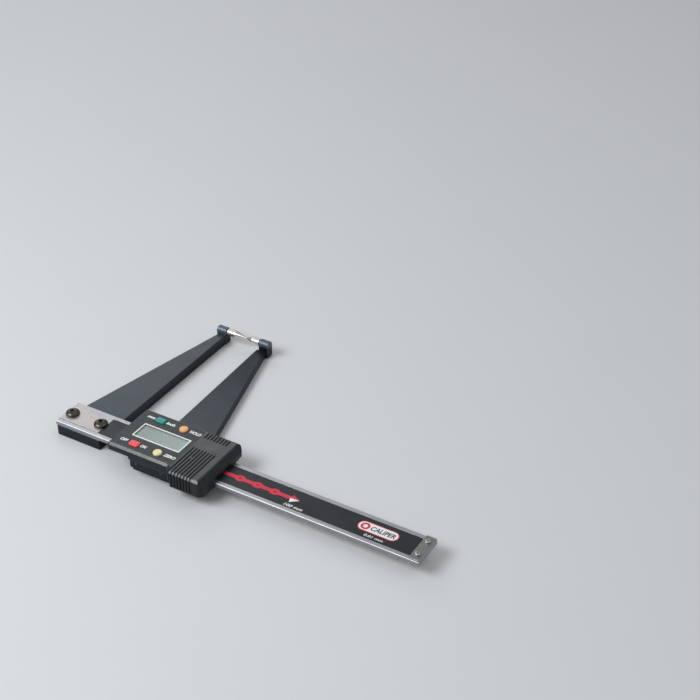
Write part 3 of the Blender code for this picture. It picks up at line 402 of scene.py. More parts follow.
def make_looks():
    """One look for each material slot of the record, and variants for bare and printed areas."""
    satin = metal("satin_stainless", paint(219, 213, 210), 0.42, (30, 1, 1), 0.14, 0.12)
    # Painted shadow: a dark line on the channel floor along the near rail's wall.
    near_corner_shadow = satin.maths("MULTIPLY", satin.along("Y", LABEL_LOW.y - 0.1, LABEL_LOW.y),
                              satin.along("Y", LABEL_LOW.y + 0.5, LABEL_LOW.y + 0.2))
    satin.tint(near_corner_shadow, paint(70, 66, 66), 0.8)
    long_grain = (60, 1, 1)
    rail = metal("ground_rail", paint(194, 194, 199), 0.30, long_grain, 0.16, 0.10)
    # Painted shade: the beam's upright sides are darker and bluer than its top.
    side = metal("beam_side_shaded", paint(162, 166, 176), 0.38, long_grain, 0.12, 0.10)

    polished = Look("ground_steel", paint(226, 221, 215), 0.33, 1.0)
    rings = polished.noise(0.6, (1, 40, 40), 2.0)
    polished.tint(polished.ramp(rings, 0.45, 0.7), paint(206, 202, 197), 0.3)
    polished.rougher(polished.ramp(polished.noise(3.0, detail=2.0), 0.4, 0.7), 0.04)
    zinc = metal("zinc_steel", paint(158, 158, 156), 0.34, (1, 14, 1), 0.12, 0.2)
    steel = metal("cell_steel", paint(200, 200, 198), 0.26, (1, 8, 1), 0.1)
    brass = metal("brass", paint(196, 160, 92), 0.3, (20, 1, 1), 0.1)
    oxide = metal("black_oxide", paint(96, 92, 88), 0.22, (1, 1, 1), 0.08, metallic=0.95)
    oxide.tint(oxide.edges(0.25, 0.5), paint(170, 166, 160), 0.5)
    looks = [satin, rail, side, polished, zinc, steel, brass, oxide]
    # Two copies of one anodised look: each darkens towards its jaw's tip as painted shade, the moving jaw's
    # much more.
    looks.append(anodised("black_anodised", paint(80, 86, 89), 0.25))
    looks.append(anodised("moving_anodised_shaded", paint(30, 38, 46), 0.85))

    moulded = plastic("black_abs", paint(40, 45, 48), 0.25, specular=0.75)
    # Painted shade: upright faces of the moulded plastic are darker and reflect less.
    upright = moulded.maths("SUBTRACT", 1.0, moulded.level())
    moulded.tint(upright, paint(24, 28, 31), 0.8)
    moulded.shinier(upright, -0.5)
    face = plastic("face_film", paint(48, 53, 55), 0.36, 0.3, 0.003, 0.45, 0.12)
    label = plastic("label_film", paint(36, 40, 43), 0.34, 0.3, 0.002, 0.35, None)
    rubber = plastic("black_rubber", paint(26, 26, 27), 0.8, 0.4, 0.01, 0.3, None)
    board = plastic("green_board", paint(20, 84, 52), 0.42, 0.3, 0.003, 0.5, None)
    tracks = board.ramp(board.cells(1.6), 0.42, 0.46)
    board.tint(tracks, paint(60, 130, 84), 0.5)
    board.relief(tracks, 0.03)
    looks += [moulded, face, label, rubber, board]

    spread = 0.6 * MM
    for name, tone in (("teal_plastic", (32, 146, 140)), ("orange_plastic", (254, 176, 118)),
                       ("red_plastic", (248, 86, 86)), ("yellow_plastic", (244, 230, 176))):
        look = plastic(name, paint(*tone), 0.24, 0.25, 0.002, 0.55, None)
        look.shader.inputs["Subsurface Weight"].default_value = 0.15
        look.shader.inputs["Subsurface Radius"].default_value = (spread, spread, spread)
        looks.append(look)

    cell = Look("display_glass", paint(150, 160, 158), 0.35, specular=0.3)
    # Painted shade and light: the cell is darker at the window's left end and lighter towards its right.
    across = cell.along("X", WINDOW_X - WINDOW_LENGTH / 2, WINDOW_X + WINDOW_LENGTH / 2)
    cell.tint(across, paint(178, 187, 186), 0.8)
    cell.tint(cell.ramp(cell.noise(5, detail=2.0), 0.4, 0.7), paint(160, 168, 164), 0.25)
    cell.relief(cell.noise(0.35, detail=1.0), 0.001)
    looks.append(cell)

    for name, tone in (("print_white", (246, 247, 246)), ("print_red", (222, 52, 78)),
                       ("print_dark", (34, 34, 36))):
        look = Look(name, paint(*tone), 0.4, specular=0.4)
        thin = tuple(0.8 * part for part in paint(*tone))
        look.tint(look.ramp(look.noise(0.35, detail=3.0), 0.55, 0.8), thin, 0.6)
        look.relief(look.noise(0.2, detail=2.0), 0.003)
        looks.append(look)
    looks.append(clear_lens())
    return {look.name: look.made for look in looks}


def clear_lens():
    """A thin clear window: what lies under it shows through, and its face mirrors a little."""
    look = Look("clear_lens", paint(235, 240, 238), 0.06)
    look.rougher(look.ramp(look.noise(6, detail=4.0), 0.4, 0.8), 0.08)
    look.relief(look.noise(2.5, detail=2.0), 0.002)
    clear = look.nodes.new("ShaderNodeBsdfTransparent")
    clear.inputs["Color"].default_value = (0.93, 0.95, 0.94, 1.0)
    slant = look.nodes.new("ShaderNodeLayerWeight").outputs["Facing"]
    share = look.maths("MULTIPLY_ADD", look.maths("POWER", slant, 5.0), 0.9, 0.04)
    mixed = look.nodes.new("ShaderNodeMixShader")
    glossy = look.nodes.new("ShaderNodeBsdfGlossy")
    look.join(look.roughness, glossy.inputs["Roughness"])
    look.join(look.normal, glossy.inputs["Normal"])
    look.join(share, mixed.inputs[0])
    look.join(clear.outputs[0], mixed.inputs[1])
    look.join(glossy.outputs[0], mixed.inputs[2])
    look.join(mixed.outputs[0], look.nodes["Material Output"].inputs["Surface"])
    look.nodes.remove(look.shader)
    return look


looks = make_looks()


def add_piece(name, bm, body, look, stands_for=(), smooth=35, extra=(), choose=None):
    """Make a piece from a bmesh in design millimetres; choose gives each face's look among look and extra."""
    bmesh.ops.remove_doubles(bm, verts=bm.verts, dist=0.0005)
    bmesh.ops.recalc_face_normals(bm, faces=bm.faces)
    if choose:
        for face in bm.faces:
            face.material_index = choose(face)
    for vert in bm.verts:
        vert.co = ORIGIN + vert.co * MM
    mesh = bpy.data.meshes.new(name)
    bm.to_mesh(mesh)
    bm.free()
    for key in (look, *extra):
        mesh.materials.append(looks[key])
    mesh.shade_smooth()
    mesh.set_sharp_from_angle(angle=math.radians(smooth))
    piece = bpy.data.objects.new(name, mesh)
    bpy.context.scene.collection.objects.link(piece)
    flat = piece.modifiers.new("flat_faces", "WEIGHTED_NORMAL")
    flat.keep_sharp = True
    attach(piece, body)
    if stands_for:
        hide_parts(*stands_for)


def arc(centre, radius, start, end, steps, inset=0.0):
    """Points on an arc between two angles; a negative radius is a hollow corner."""
    reach = abs(radius) - math.copysign(inset, radius)
    angles = [math.radians(start + (end - start) * step / steps) for step in range(steps + 1)]
    return [(centre[0] + reach * math.cos(a), centre[1] + reach * math.sin(a)) for a in angles]


def rounded_outline(centre, size, inset=0.0, steps=6):
    """A rounded rectangle round a centre; size is (length, width, corner radius)."""
    radius = size[2]
    across, up = size[0] / 2 - radius, size[1] / 2 - radius
    places = ((across, up, 0), (-across, up, 90), (-across, -up, 180), (across, -up, 270))
    points = []
    for x, y, start in places:
        points += arc((centre[0] + x, centre[1] + y), radius, start, start + 90, steps, inset)
    return points


def skinned(rings):
    """A solid through closed rings of equally many points."""
    bm = bmesh.new()
    rings = [[bm.verts.new(point) for point in ring] for ring in rings]
    for lower, upper in zip(rings, rings[1:]):
        for step in range(len(lower)):
            follow = (step + 1) % len(lower)
            bm.faces.new((lower[step], lower[follow], upper[follow], upper[step]))
    bm.faces.new(rings[0])
    bm.faces.new(rings[-1])
    bmesh.ops.recalc_face_normals(bm, faces=bm.faces)
    return bm


def stack(layers):
    """A solid through layers whose outlines have equally many points."""
    return skinned([[(x, y, height) for x, y in outline] for outline, height in layers])


def prism(outline, low, high):
    """An upright solid between two heights."""
    return stack([(outline, low), (outline, high)])


def block(low, high):
    """A box between two corners, for unions and cuts."""
    corners = [(low[0], low[1]), (high[0], low[1]), (high[0], high[1]), (low[0], high[1])]
    return prism(corners, low[2], high[2])


def rod(centre, radius, low, high, axis="Z", segments=24):
    """A round bar along an axis through centre."""
    return turned([(0, low), (radius, low), (radius, high), (0, high)], centre, axis, segments)


def drawn_out(section, start, end):
    """A section in (x, z) drawn out along y."""
    return skinned([[(x, y, z) for x, z in section] for y in (start, end)])


def turned(profile, centre, axis, segments):
    """A turned solid from (radius, distance) pairs along the axis through centre."""
    bm = bmesh.new()
    angles = [2 * math.pi * step / segments for step in range(segments)]
    rings = []
    for radius, along in profile:
        if radius == 0:
            rings.append([bm.verts.new((0, 0, along))])
        else:
            rings.append([bm.verts.new((radius * math.cos(a), radius * math.sin(a), along)) for a in angles])
    for lower, upper in zip(rings, rings[1:]):
        for step in range(segments):
            follow = (step + 1) % segments
            corners = [lower[step % len(lower)], lower[follow % len(lower)],
                       upper[follow % len(upper)], upper[step % len(upper)]]
            bm.faces.new(list(dict.fromkeys(corners)))
    for ring in (rings[0], rings[-1]):
        if len(ring) > 1:
            bm.faces.new(ring)
    turn = Matrix.Rotation(math.pi / 2, 4, "Y") if axis == "X" else Matrix.Identity(4)
    bmesh.ops.transform(bm, matrix=Matrix.Translation(Vector(centre)) @ turn, verts=bm.verts)
    bmesh.ops.recalc_face_normals(bm, faces=bm.faces)
    return bm


def joined(meshes):
    """Several bmeshes as one; they must not touch where the result is used as a tool."""
    whole = bmesh.new()
    for bm in meshes:
        bmesh.ops.recalc_face_normals(bm, faces=bm.faces)
        part = bpy.data.meshes.new("part")
        bm.to_mesh(part)
        whole.from_mesh(part)
        bm.free()
        bpy.data.meshes.remove(part)
    return whole


def shaped(bm, steps):
    """The solid in bm after a run of ("DIFFERENCE" or "UNION", tool) steps, all in design millimetres."""
    helpers = []
    for solid in [bm, *[tool for _, tool in steps]]:
        bmesh.ops.recalc_face_normals(solid, faces=solid.faces)
        mesh = bpy.data.meshes.new("helper")
        solid.to_mesh(mesh)
        solid.free()
        helpers.append(bpy.data.objects.new("helper", mesh))
        bpy.context.scene.collection.objects.link(helpers[-1])
    for (operation, _), tool in zip(steps, helpers[1:]):
        modifier = helpers[0].modifiers.new("shape", "BOOLEAN")
        modifier.operation = operation
        modifier.solver = "EXACT"
        modifier.object = tool
    graph = bpy.context.evaluated_depsgraph_get()
    result = bmesh.new()
    result.from_mesh(helpers[0].evaluated_get(graph).to_mesh())
    for helper in helpers:
        mesh = helper.data
        bpy.data.objects.remove(helper)
        bpy.data.meshes.remove(mesh)
    return result


def copy_of(node):
    """A CAD node's mesh in design millimetres, with its split vertices joined and flat faces whole."""
    bm = bmesh.new()
    bm.from_mesh(frame["nodes"][node].data)
    for vert in bm.verts:
        vert.co = (vert.co - ORIGIN) / MM
    bmesh.ops.remove_doubles(bm, verts=bm.verts, dist=0.001)
    bmesh.ops.dissolve_limit(bm, angle_limit=math.radians(0.6), verts=bm.verts, edges=bm.edges)
    return bm


def soften(bm, width, segments, shortest=1.0):
    """Round the edges that turn sharply and are longer than shortest."""
    sharp = []
    for edge in bm.edges:
        if len(edge.link_faces) == 2 and edge.calc_length() > shortest:
            if edge.calc_face_angle(0.0) > math.radians(SHARP_ANGLE):
                sharp.append(edge)
    bmesh.ops.bevel(bm, geom=sharp, offset=width, offset_type="OFFSET", segments=segments, profile=0.5,
                    affect="EDGES", clamp_overlap=True)
    return bm


def body_of(node):
    """The rigid body that carries a CAD node."""
    return frame["nodes"][node]["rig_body"]


def refined(node, look, width, segments=2, shortest=1.0, **more):
    """A copy of a CAD node with its edges rounded, which stands for the node."""
    bm = soften(copy_of(node), width, segments, shortest)
    add_piece(node + "_fine", bm, body_of(node), look, (node,), **more)


def add_beam():
    """Stainless beam: bright ground rails, satin channel, and sides in a darker, bluer tone that is painted
    shade.
    """
    rail_top = BEAM_HIGH.z - 0.05

    def choose(face):
        if face.calc_center_median().z > rail_top:
            return 1
        return 2 if abs(face.normal.z) < 0.5 else 0

    refined("beam", "satin_stainless", 0.1, extra=("ground_rail", "beam_side_shaded"), choose=choose)


def dome_profile(radius, low, high):
    """A button head: a short rim and a dome that is flat where the socket is."""
    points = [(radius - 0.12, low), (radius, low + 0.12)]
    steps = 12
    for step in range(steps + 1):
        angle = math.radians(DOME_REACH * step / steps)
        share = math.sin(angle) / math.sin(math.radians(DOME_REACH))
        rise = HEAD_RIM + (1 - HEAD_RIM) * share
        points.append((radius * math.cos(angle), low + (high - low) * rise))
    return points


def hexagon(centre, radius, turn):
    """A hexagon whose first corner is turned by so many degrees from the x axis."""
    angles = [math.radians(60 * step + turn) for step in range(6)]
    return [(centre[0] + radius * math.cos(a), centre[1] + radius * math.sin(a)) for a in angles]


def add_jaw_screws():
    """Button-head screws with hexagon sockets, each turned to its own angle."""
    for node, turn in JAW_SCREW_TURNS.items():
        low, high = box_of(node)
        centre = ((low.x + high.x) / 2, (low.y + high.y) / 2)
        radius = (high.x - low.x) / 2
        base = high.z - HEAD_HEIGHT
        shank = [(0, low.z), (SHANK_RADIUS, low.z), (SHANK_RADIUS, base), (radius - 0.3, base)]
        profile = shank + dome_profile(radius, base, high.z) + [(0, high.z)]
        head = turned(profile, (*centre, 0), "Z", 72)
        socket = stack([(hexagon(centre, reach, turn), high.z + height) for reach, height in SOCKET])
        bm = shaped(head, [("DIFFERENCE", socket)])
        add_piece(node + "_fine", bm, body_of(node), "black_oxide", (node,), smooth=28)


def add_jaws():
    """Tapered jaws whose bosses stand on lugs as wide as themselves."""
    radius = JAW_HIGH.y - JAW_TIP - BOSS_INSET
    for node, anvil, look in (("fixed_jaw", "fixed_anvil", "black_anodised"),
                              ("moving_jaw", "moving_anvil", "moving_anodised_shaded")):
        way = ANVILS[anvil][0]
        low, high = box_of(anvil)
        face = low.x + STEM_LENGTH if way > 0 else high.x - STEM_LENGTH
        ends = sorted((face - way * LUG_INSET, face - way * (BOSS_LENGTH - LUG_INSET)))
        lug = block((ends[0], JAW_TIP - radius, JAW_LOW.z + LUG_LIFT), (ends[1], JAW_TIP + radius, ANVIL_Z))
        stem = sorted((face + way, face - way * (STEM_LENGTH + CLEAR)))
        bore = rod((0, JAW_TIP, ANVIL_Z), STEM_RADIUS + CLEAR, stem[0], stem[1], "X")
        middle = (face - way * BOSS_LENGTH / 2, JAW_TIP, 0)
        shaft = rod(middle, SETSCREW_RADIUS, JAW_LOW.z, ANVIL_Z)
        bm = shaped(copy_of(node), [("UNION", lug), ("DIFFERENCE", bore), ("DIFFERENCE", shaft)])
        add_piece(node + "_fine", soften(bm, JAW_EDGE, 3), body_of(node), look, (node,))


def add_anvils():
    """Polished anvils: round shank, relief ring, cone and a small flat tip."""
    for node, (way, shank, cone) in ANVILS.items():
        low, high = box_of(node)
        centre = (0, (low.y + high.y) / 2, (low.z + high.z) / 2)
        radius = (high.y - low.y) / 2
        tip = high.x if way > 0 else low.x
        back = low.x if way > 0 else high.x
        turn_in = tip - way * cone
        face = turn_in - way * shank
        profile = [
            (0, back), (STEM_RADIUS, back), (STEM_RADIUS, face),
            (radius - 0.35, face), (radius - 0.1, face + way * 0.1), (radius, face + way * 0.35),
            (radius, turn_in - way * 0.5), (radius - 0.03, turn_in - way * 0.2),
            (radius - 0.12, turn_in + way * 0.1),
            (0.55, tip - way * 0.3), (0.3, tip - way * 0.06), (0.2, tip), (0, tip),
        ]
        bm = turned(profile, centre, "X", 96)
        add_piece(node + "_fine", bm, body_of(node), "ground_steel", (node,), smooth=24)


def cross_tool(centre, top):
    """What a tapered cross recess takes out of a screw's head."""
    reach, half, depth = CROSS

    def cross(arm, width):
        corners = [(arm, width), (width, width), (width, arm)]
        points = []
        for c, s in ((1, 0), (0, 1), (-1, 0), (0, -1)):
            points += [(centre[0] + c * x - s * y, centre[1] + s * x + c * y) for x, y in corners]
        return points

    return stack([(cross(0.5 * reach, 0.6 * half), top - depth), (cross(reach, half), top + 0.1)])


def add_stop():
    """Stop plate with rounded corners and two pan-head cross-recess screws."""
    size = (STOP_HIGH.x - STOP_LOW.x, STOP_HIGH.y - STOP_LOW.y, STOP_CORNER)
    centre = ((STOP_HIGH.x + STOP_LOW.x) / 2, (STOP_HIGH.y + STOP_LOW.y) / 2)
    layers = [(rounded_outline(centre, size, inset), STOP_LOW.z + height) for inset, height in STOP_EDGE]
    holes = []
    for node in ("stop_screw_1", "stop_screw_2"):
        low, high = box_of(node)
        middle = ((low.x + high.x) / 2, (low.y + high.y) / 2)
        holes.append(rod((*middle, 0), STOP_HOLE, -1, 2, segments=32))
        radius = (high.x - low.x) / 2
        base = high.z - STOP_HEAD
        profile = [
            (0, low.z), (STOP_SHANK, low.z), (STOP_SHANK, base),
            (radius - 0.15, base), (radius, base + 0.15), (radius, base + 0.4),
            *arc((radius - 0.55, base + 0.45), 0.55, 0, 70, 6),
            (0.6 * radius, high.z - 0.02), (0, high.z),
        ]
        head = turned(profile, (*middle, 0), "Z", 48)
        bm = shaped(head, [("DIFFERENCE", cross_tool(middle, high.z))])
        add_piece(node + "_fine", bm, body_of(node), "cell_steel", (node,), smooth=28)
    bm = shaped(stack(layers), [("DIFFERENCE", joined(holes))])
    add_piece("stop_plate_fine", bm, "beam_assembly", "zinc_steel", ("stop_plate",), smooth=25)


def edge_profile():
    """The cover's broken top edge, from the top down: (inset, drop, tilt of the surface) of each point."""
    radius = CHAMFER_ROUND
    reach = COVER_CHAMFER + radius * math.tan(math.radians(22.5))
    points = []
    for tilt in map(math.radians, (0, 15, 30, 45)):
        points.append((reach - radius * math.sin(tilt), radius * (1 - math.cos(tilt)), tilt))
    for tilt in map(math.radians, (45, 60, 75, 90)):
        points.append((radius * (1 - math.sin(tilt)), reach - radius * math.cos(tilt), tilt))
    return points


def cover_outline(inset=0.0):
    """The cover from above; the grip swells out of its near edge by two equal arcs."""
    low, high = COVER_LOW, COVER_HIGH
    near = low.y + GRIP_REACH
    turn = 2 * math.atan(GRIP_REACH / GRIP_BLEND)
    radius = GRIP_BLEND / (2 * math.sin(turn))
    turn = math.degrees(turn)
    return [
        *arc((high.x - END_CORNER, high.y - END_CORNER), END_CORNER, 0, 90, 10, inset),
        *arc((low.x + COVER_CORNER, high.y - COVER_CORNER), COVER_CORNER, 90, 180, 8, inset),
        *arc((low.x + COVER_CORNER, near + COVER_CORNER), COVER_CORNER, 180, 270, 8, inset),
        *arc((GRIP_START, near - radius), -radius, 90, 90 - turn, 8, inset),
        *arc((GRIP_START + GRIP_BLEND, low.y + radius), radius, 270 - turn, 270, 8, inset)[1:],
        *arc((high.x - END_CORNER, low.y + END_CORNER), END_CORNER, 270, 360, 10, inset),
    ]


def slope_tool():
    """What the sloping end takes off, rounded where it leaves the top."""
    run, drop = COVER_HIGH.x - SLOPE_START, TOP - SLOPE_LOW
    angle = math.atan2(drop, run)
    reach = SLOPE_ROUND * math.tan(angle / 2)
    section = [(SLOPE_START - reach, TOP + 3), (SLOPE_START - reach, TOP + 0.004)]
    centre = (SLOPE_START - reach, TOP - SLOPE_ROUND)
    section += arc(centre, SLOPE_ROUND, 90, 90 - math.degrees(angle), 8)[1:]
    section += [(SLOPE_START + 2 * run, TOP - 2 * drop), (SLOPE_START + 2 * run, TOP + 3)]
    return drawn_out(section, COVER_LOW.y - 3, COVER_HIGH.y + 3)


def groove_section():
    """Half of a groove's section as (distance from its middle, depth), from the lip to the root."""
    half = GROOVE_WIDTH / 2
    points = [(half + GROOVE_LIP, -0.01)]
    for angle in (30, 60, 90):
        a = math.radians(angle)
        points.append((half + GROOVE_LIP * (1 - math.sin(a)), GROOVE_LIP * (1 - math.cos(a))))
    for angle in (0, 45, 90):
        a = math.radians(angle)
        depth = GROOVE_DEPTH - GROOVE_ROOT * (1 - math.sin(a))
        points.append((half - GROOVE_ROOT * (1 - math.cos(a)), depth))
    return points


def groove_tool(x, end, side, bottom):
    """A groove that fades in at end, runs over the rounded edge at side and fades out at bottom."""
    out = math.copysign(1, side - end)
    half = groove_section()
    ring = [(-half[0][0], -1.0), *[(-across, depth) for across, depth in half],
            *half[::-1], (half[0][0], -1.0)]
    # Each point of the path: y, z, the direction out of the surface in y and z, and the share of full depth
    path = []
    for step in range(6):
        share = step / 5
        deep = 0.06 + 0.94 * math.sin(math.pi / 2 * share)
        path.append((end + out * GROOVE_FADE * share, TOP, 0, 1, deep))
    for inset, drop, tilt in edge_profile():
        path.append((side - out * inset, TOP - drop, out * math.sin(tilt), math.cos(tilt), 1.0))
    path.append((side, bottom + 1.0, out, 0, 1.0))
    path.append((side, bottom, out, 0, 0.3))
    rings = []
    for y, z, out_y, out_z, share in path:
        corners = []
        for across, depth in ring:
            sunk = depth * share if depth > 0 else depth
            corners.append((x + across, y - out_y * sunk, z - out_z * sunk))
        rings.append(corners)
    return skinned(rings)


def grooves(end, side, bottom):
    """The row of grooves across the grip."""
    places = [GROOVE_START + step * GROOVE_PITCH for step in range(GROOVES)]
    return [groove_tool(x, end, side, bottom) for x in places]


def near_grooves():
    return grooves(NEAR_GROOVE_END, COVER_LOW.y, COVER_LOW.z + NEAR_GROOVE_LIFT)


def far_grooves():
    return grooves(FAR_GROOVE_START, COVER_HIGH.y, COVER_BOTTOM + FAR_GROOVE_LIFT)


def add_cover():
    """Moulded cover: rounded edges, thumb grip with ridges, sloping end, hollow inside."""
    layers = []
    for step in range(5):
        a = math.radians(90 - 90 * step / 4)
        height = COVER_LOW.z + GRIP_ROUND * (1 - math.sin(a))
        layers.append((cover_outline(GRIP_ROUND * (1 - math.cos(a))), height))
    for inset, drop, _ in reversed(edge_profile()):
        layers.append((cover_outline(inset), TOP - drop))
    skirt = FRAME_HIGH.z + CLEAR
    ceiling = TOP - COVER_WALL
    left, near, deep = COVER_LOW.x - 9, COVER_LOW.y - 9, -15
    right, far = COVER_HIGH.x + 9, COVER_HIGH.y + 9
    inner_near = COVER_LOW.y + GRIP_REACH + COVER_WALL
    inner_far = COVER_HIGH.y - COVER_WALL
    door_near, door_far = DOOR_LOW.y - CLEAR, DOOR_HIGH.y + CLEAR
    cuts = [
        ((left, near, deep), (FRAME_LOW.x - CLEAR, far, COVER_BOTTOM)),
        ((left, near, deep), (GRIP_START + GRIP_BLEND, far, skirt)),
        ((left, FRAME_LOW.y - CLEAR, deep), (FRAME_HIGH.x + CLEAR, far, skirt)),
        ((left, -2 * CLEAR, deep), (right, far, 2 * CLEAR)),
        ((COVER_LOW.x + COVER_WALL, inner_near, deep), (HOLLOW_END, inner_far, ceiling)),
        ((HOLLOW_END - CLEAR, FRAME_LOW.y, deep), (FRAME_HIGH.x + CLEAR, FRAME_HIGH.y + CLEAR, skirt)),
        ((DOOR_LOW.x - CLEAR, door_near, ceiling - CLEAR), (right, door_far, TOP + CLEAR)),
        ((HOLLOW_END - CLEAR, door_near, DOOR_LOW.z - CLEAR), (right, door_far, TOP + CLEAR)),
    ]
    steps = [("DIFFERENCE", slope_tool())]
    steps += [("DIFFERENCE", block(low, high)) for low, high in cuts]
    posts = [rod((x, y, 0), POST_RADIUS, skirt, ceiling + CLEAR) for x, y in POSTS]
    steps.append(("UNION", joined(posts)))
    plate = ((PLATE_LOW.x + PLATE_HIGH.x) / 2, (PLATE_LOW.y + PLATE_HIGH.y) / 2)
    plate_length = PLATE_HIGH.x - PLATE_LOW.x + 2 * SEAM
    plate_width = PLATE_HIGH.y - PLATE_LOW.y + 2 * SEAM
    recess = rounded_outline(plate, (plate_length, plate_width, PLATE_CORNER + SEAM))
    steps.append(("DIFFERENCE", prism(recess, PLATE_LOW.z - CLEAR, TOP + CLEAR)))
    holes = [prism(rounded_outline((WINDOW_X, CENTRE_Y), WINDOW_HOLE), ceiling - CLEAR, TOP)]
    for x, offset, size, _ in BUTTON_SHAPES.values():
        holes.append(prism(rounded_outline((x, CENTRE_Y + offset), size, -CLEAR), ceiling - CLEAR, TOP))
    steps.append(("DIFFERENCE", joined(holes)))
    steps.append(("DIFFERENCE", joined(near_grooves() + far_grooves())))
    bm = shaped(stack(layers), steps)
    add_piece("front_cover_fine", bm, "slider", "black_abs", ("front_cover",), smooth=30)


def add_door():
    """Battery door: its ridges line up with the cover's, and a small arrow shows which way it slides."""
    start, end = DOOR_LOW.x - SEAM, COVER_HIGH.x + 2
    under = TOP - DOOR_THICKNESS
    section = [(start, under), (HOLLOW_END, under), (HOLLOW_END, DOOR_LOW.z),
               (end, DOOR_LOW.z), (end, TOP), (start, TOP)]
    near, far = DOOR_LOW.y - CLEAR + SEAM, DOOR_HIGH.y + CLEAR - SEAM
    steps = [("DIFFERENCE", slope_tool()), ("DIFFERENCE", joined(near_grooves()))]
    bm = shaped(drawn_out(section, near, far), steps)
    add_piece("battery_door_fine", bm, "battery_door", "black_abs", ("battery_door",), smooth=30)
    x, y = DOOR_ARROW
    foot = [(x - 1.5, y - 1.5), (x + 1.7, y), (x - 1.5, y + 1.5)]
    crest = [(x - 1.3, y - 1.2), (x + 1.3, y), (x - 1.3, y + 1.2)]
    mark = stack([(foot, TOP - 0.5), (foot, TOP + 0.05), (crest, TOP + 0.16)])
    add_piece("door_arrow", mark, "battery_door", "black_abs")


def add_window():
    """White frame line, clear window and the display cell under it."""
    centre = (WINDOW_X, CENTRE_Y)
    outer = rounded_outline(centre, LINE_OUTER)
    ring = stack([(outer, PLATE_HIGH.z - 0.15), (outer, TOP + 0.03),
                  (rounded_outline(centre, LINE_TOP), TOP + 0.08)])
    inner = prism(rounded_outline(centre, LINE_INNER), TOP - 2, TOP + 2)
    add_piece("window_line", shaped(ring, [("DIFFERENCE", inner)]), "slider", "print_white", smooth=30)
    low, high = box_of("display_window")
    flange, side = rounded_outline(centre, LENS_FLANGE), rounded_outline(centre, LENS_SIDE)
    shelf = PLATE_LOW.z - 0.05
    lens = stack([(flange, low.z + 0.8), (flange, shelf), (side, shelf), (side, high.z - 0.08),
                  (rounded_outline(centre, LENS_TOP), high.z)])
    add_piece("display_window_fine", lens, "slider", "clear_lens", ("display_window",), smooth=30)
    glass = rounded_outline(centre, CELL)
    cell_low, cell_high = box_of("display_cell")
    cell = stack([(glass, cell_low.z), (glass, cell_high.z), (glass, low.z + 0.5)])
    add_piece("display_cell_fine", cell, "slider", "display_glass", ("display_cell",), smooth=30)


def add_buttons():
    """Push buttons with rounded shoulders and slightly crowned tops."""
    for node, (x, offset, size, look) in BUTTON_SHAPES.items():
        low, high = box_of(node)
        centre = (x, CENTRE_Y + offset)
        ceiling = TOP - COVER_WALL
        stem = rounded_outline(centre, BUTTON_STEM)
        collar = rounded_outline(centre, size, -BUTTON_COLLAR)
        layers = [(stem, low.z), (stem, ceiling - 1.3), (collar, ceiling - 1.3), (collar, ceiling - 0.3),
                  (rounded_outline(centre, size), ceiling - 0.3)]
        for step in range(7):
            a = math.radians(90 * step / 6)
            inset = BUTTON_SHOULDER * (1 - math.cos(a))
            sink = BUTTON_CROWN + BUTTON_SHOULDER * (1 - math.sin(a))
            layers.append((rounded_outline(centre, size, inset), high.z - sink))
        for inset, sink in ((1.0, 0.09), (1.3, 0.03)):
            layers.append((rounded_outline(centre, size, inset), high.z - sink))
        add_piece(node + "_fine", stack(layers), body_of(node), look, (node,), smooth=50)


def lettering(name, words, centre, width, height, look, body, top, lean, weight=0.02):
    """Printed words, given their overall width and the height of a capital letter."""
    text = bpy.data.curves.new(name, "FONT")
    text.body = words
    text.shear = lean
    text.offset = weight
    text.resolution_u = 5
    text.extrude = 0.5
    holder = bpy.data.objects.new(name + "_text", text)
    bpy.context.scene.collection.objects.link(holder)
    graph = bpy.context.evaluated_depsgraph_get()
    bm = bmesh.new()
    bm.from_mesh(holder.evaluated_get(graph).to_mesh())
    bpy.data.objects.remove(holder)
    places = [vert.co for vert in bm.verts]
    low_x, high_x = min(place.x for place in places), max(place.x for place in places)
    scale_x, scale_y = width / (high_x - low_x), height / CAPITAL_HEIGHT
    for vert in bm.verts:
        x = centre[0] + (vert.co.x - (low_x + high_x) / 2) * scale_x
        y = centre[1] + (vert.co.y - CAPITAL_HEIGHT / 2) * scale_y
        vert.co = (x, y, top + PRINT_THICKNESS * (0.5 + vert.co.z))
    add_piece(name, bm, body, look, smooth=20)


def add_prints():
    """The function words beside the buttons: each row is name, words, x, y and width."""
    near, far = CENTRE_Y - 13.6, CENTRE_Y + 14.9
    rows = (("print_mm", "mm", 61.0, far, 6.0), ("print_inch", "inch", 76.6, far, 6.8),
            ("print_hold", "HOLD", 96.4, far, 9.0), ("print_off", "OFF", 60.1, near, 5.6),
            ("print_on", "ON", 75.6, near, 4.6), ("print_zero", "ZERO", 96.3, near, 9.0))
    for name, words, x, y, width in rows:
        lettering(name, words, (x, y), width, 2.4, "print_white", "slider", TOP, 0.18, 0.042)


def flat_print(name, outline, look, top):
    """A printed area on the beam's label."""
    add_piece(name, prism(outline, top, top + PRINT_THICKNESS), "beam_assembly", look)


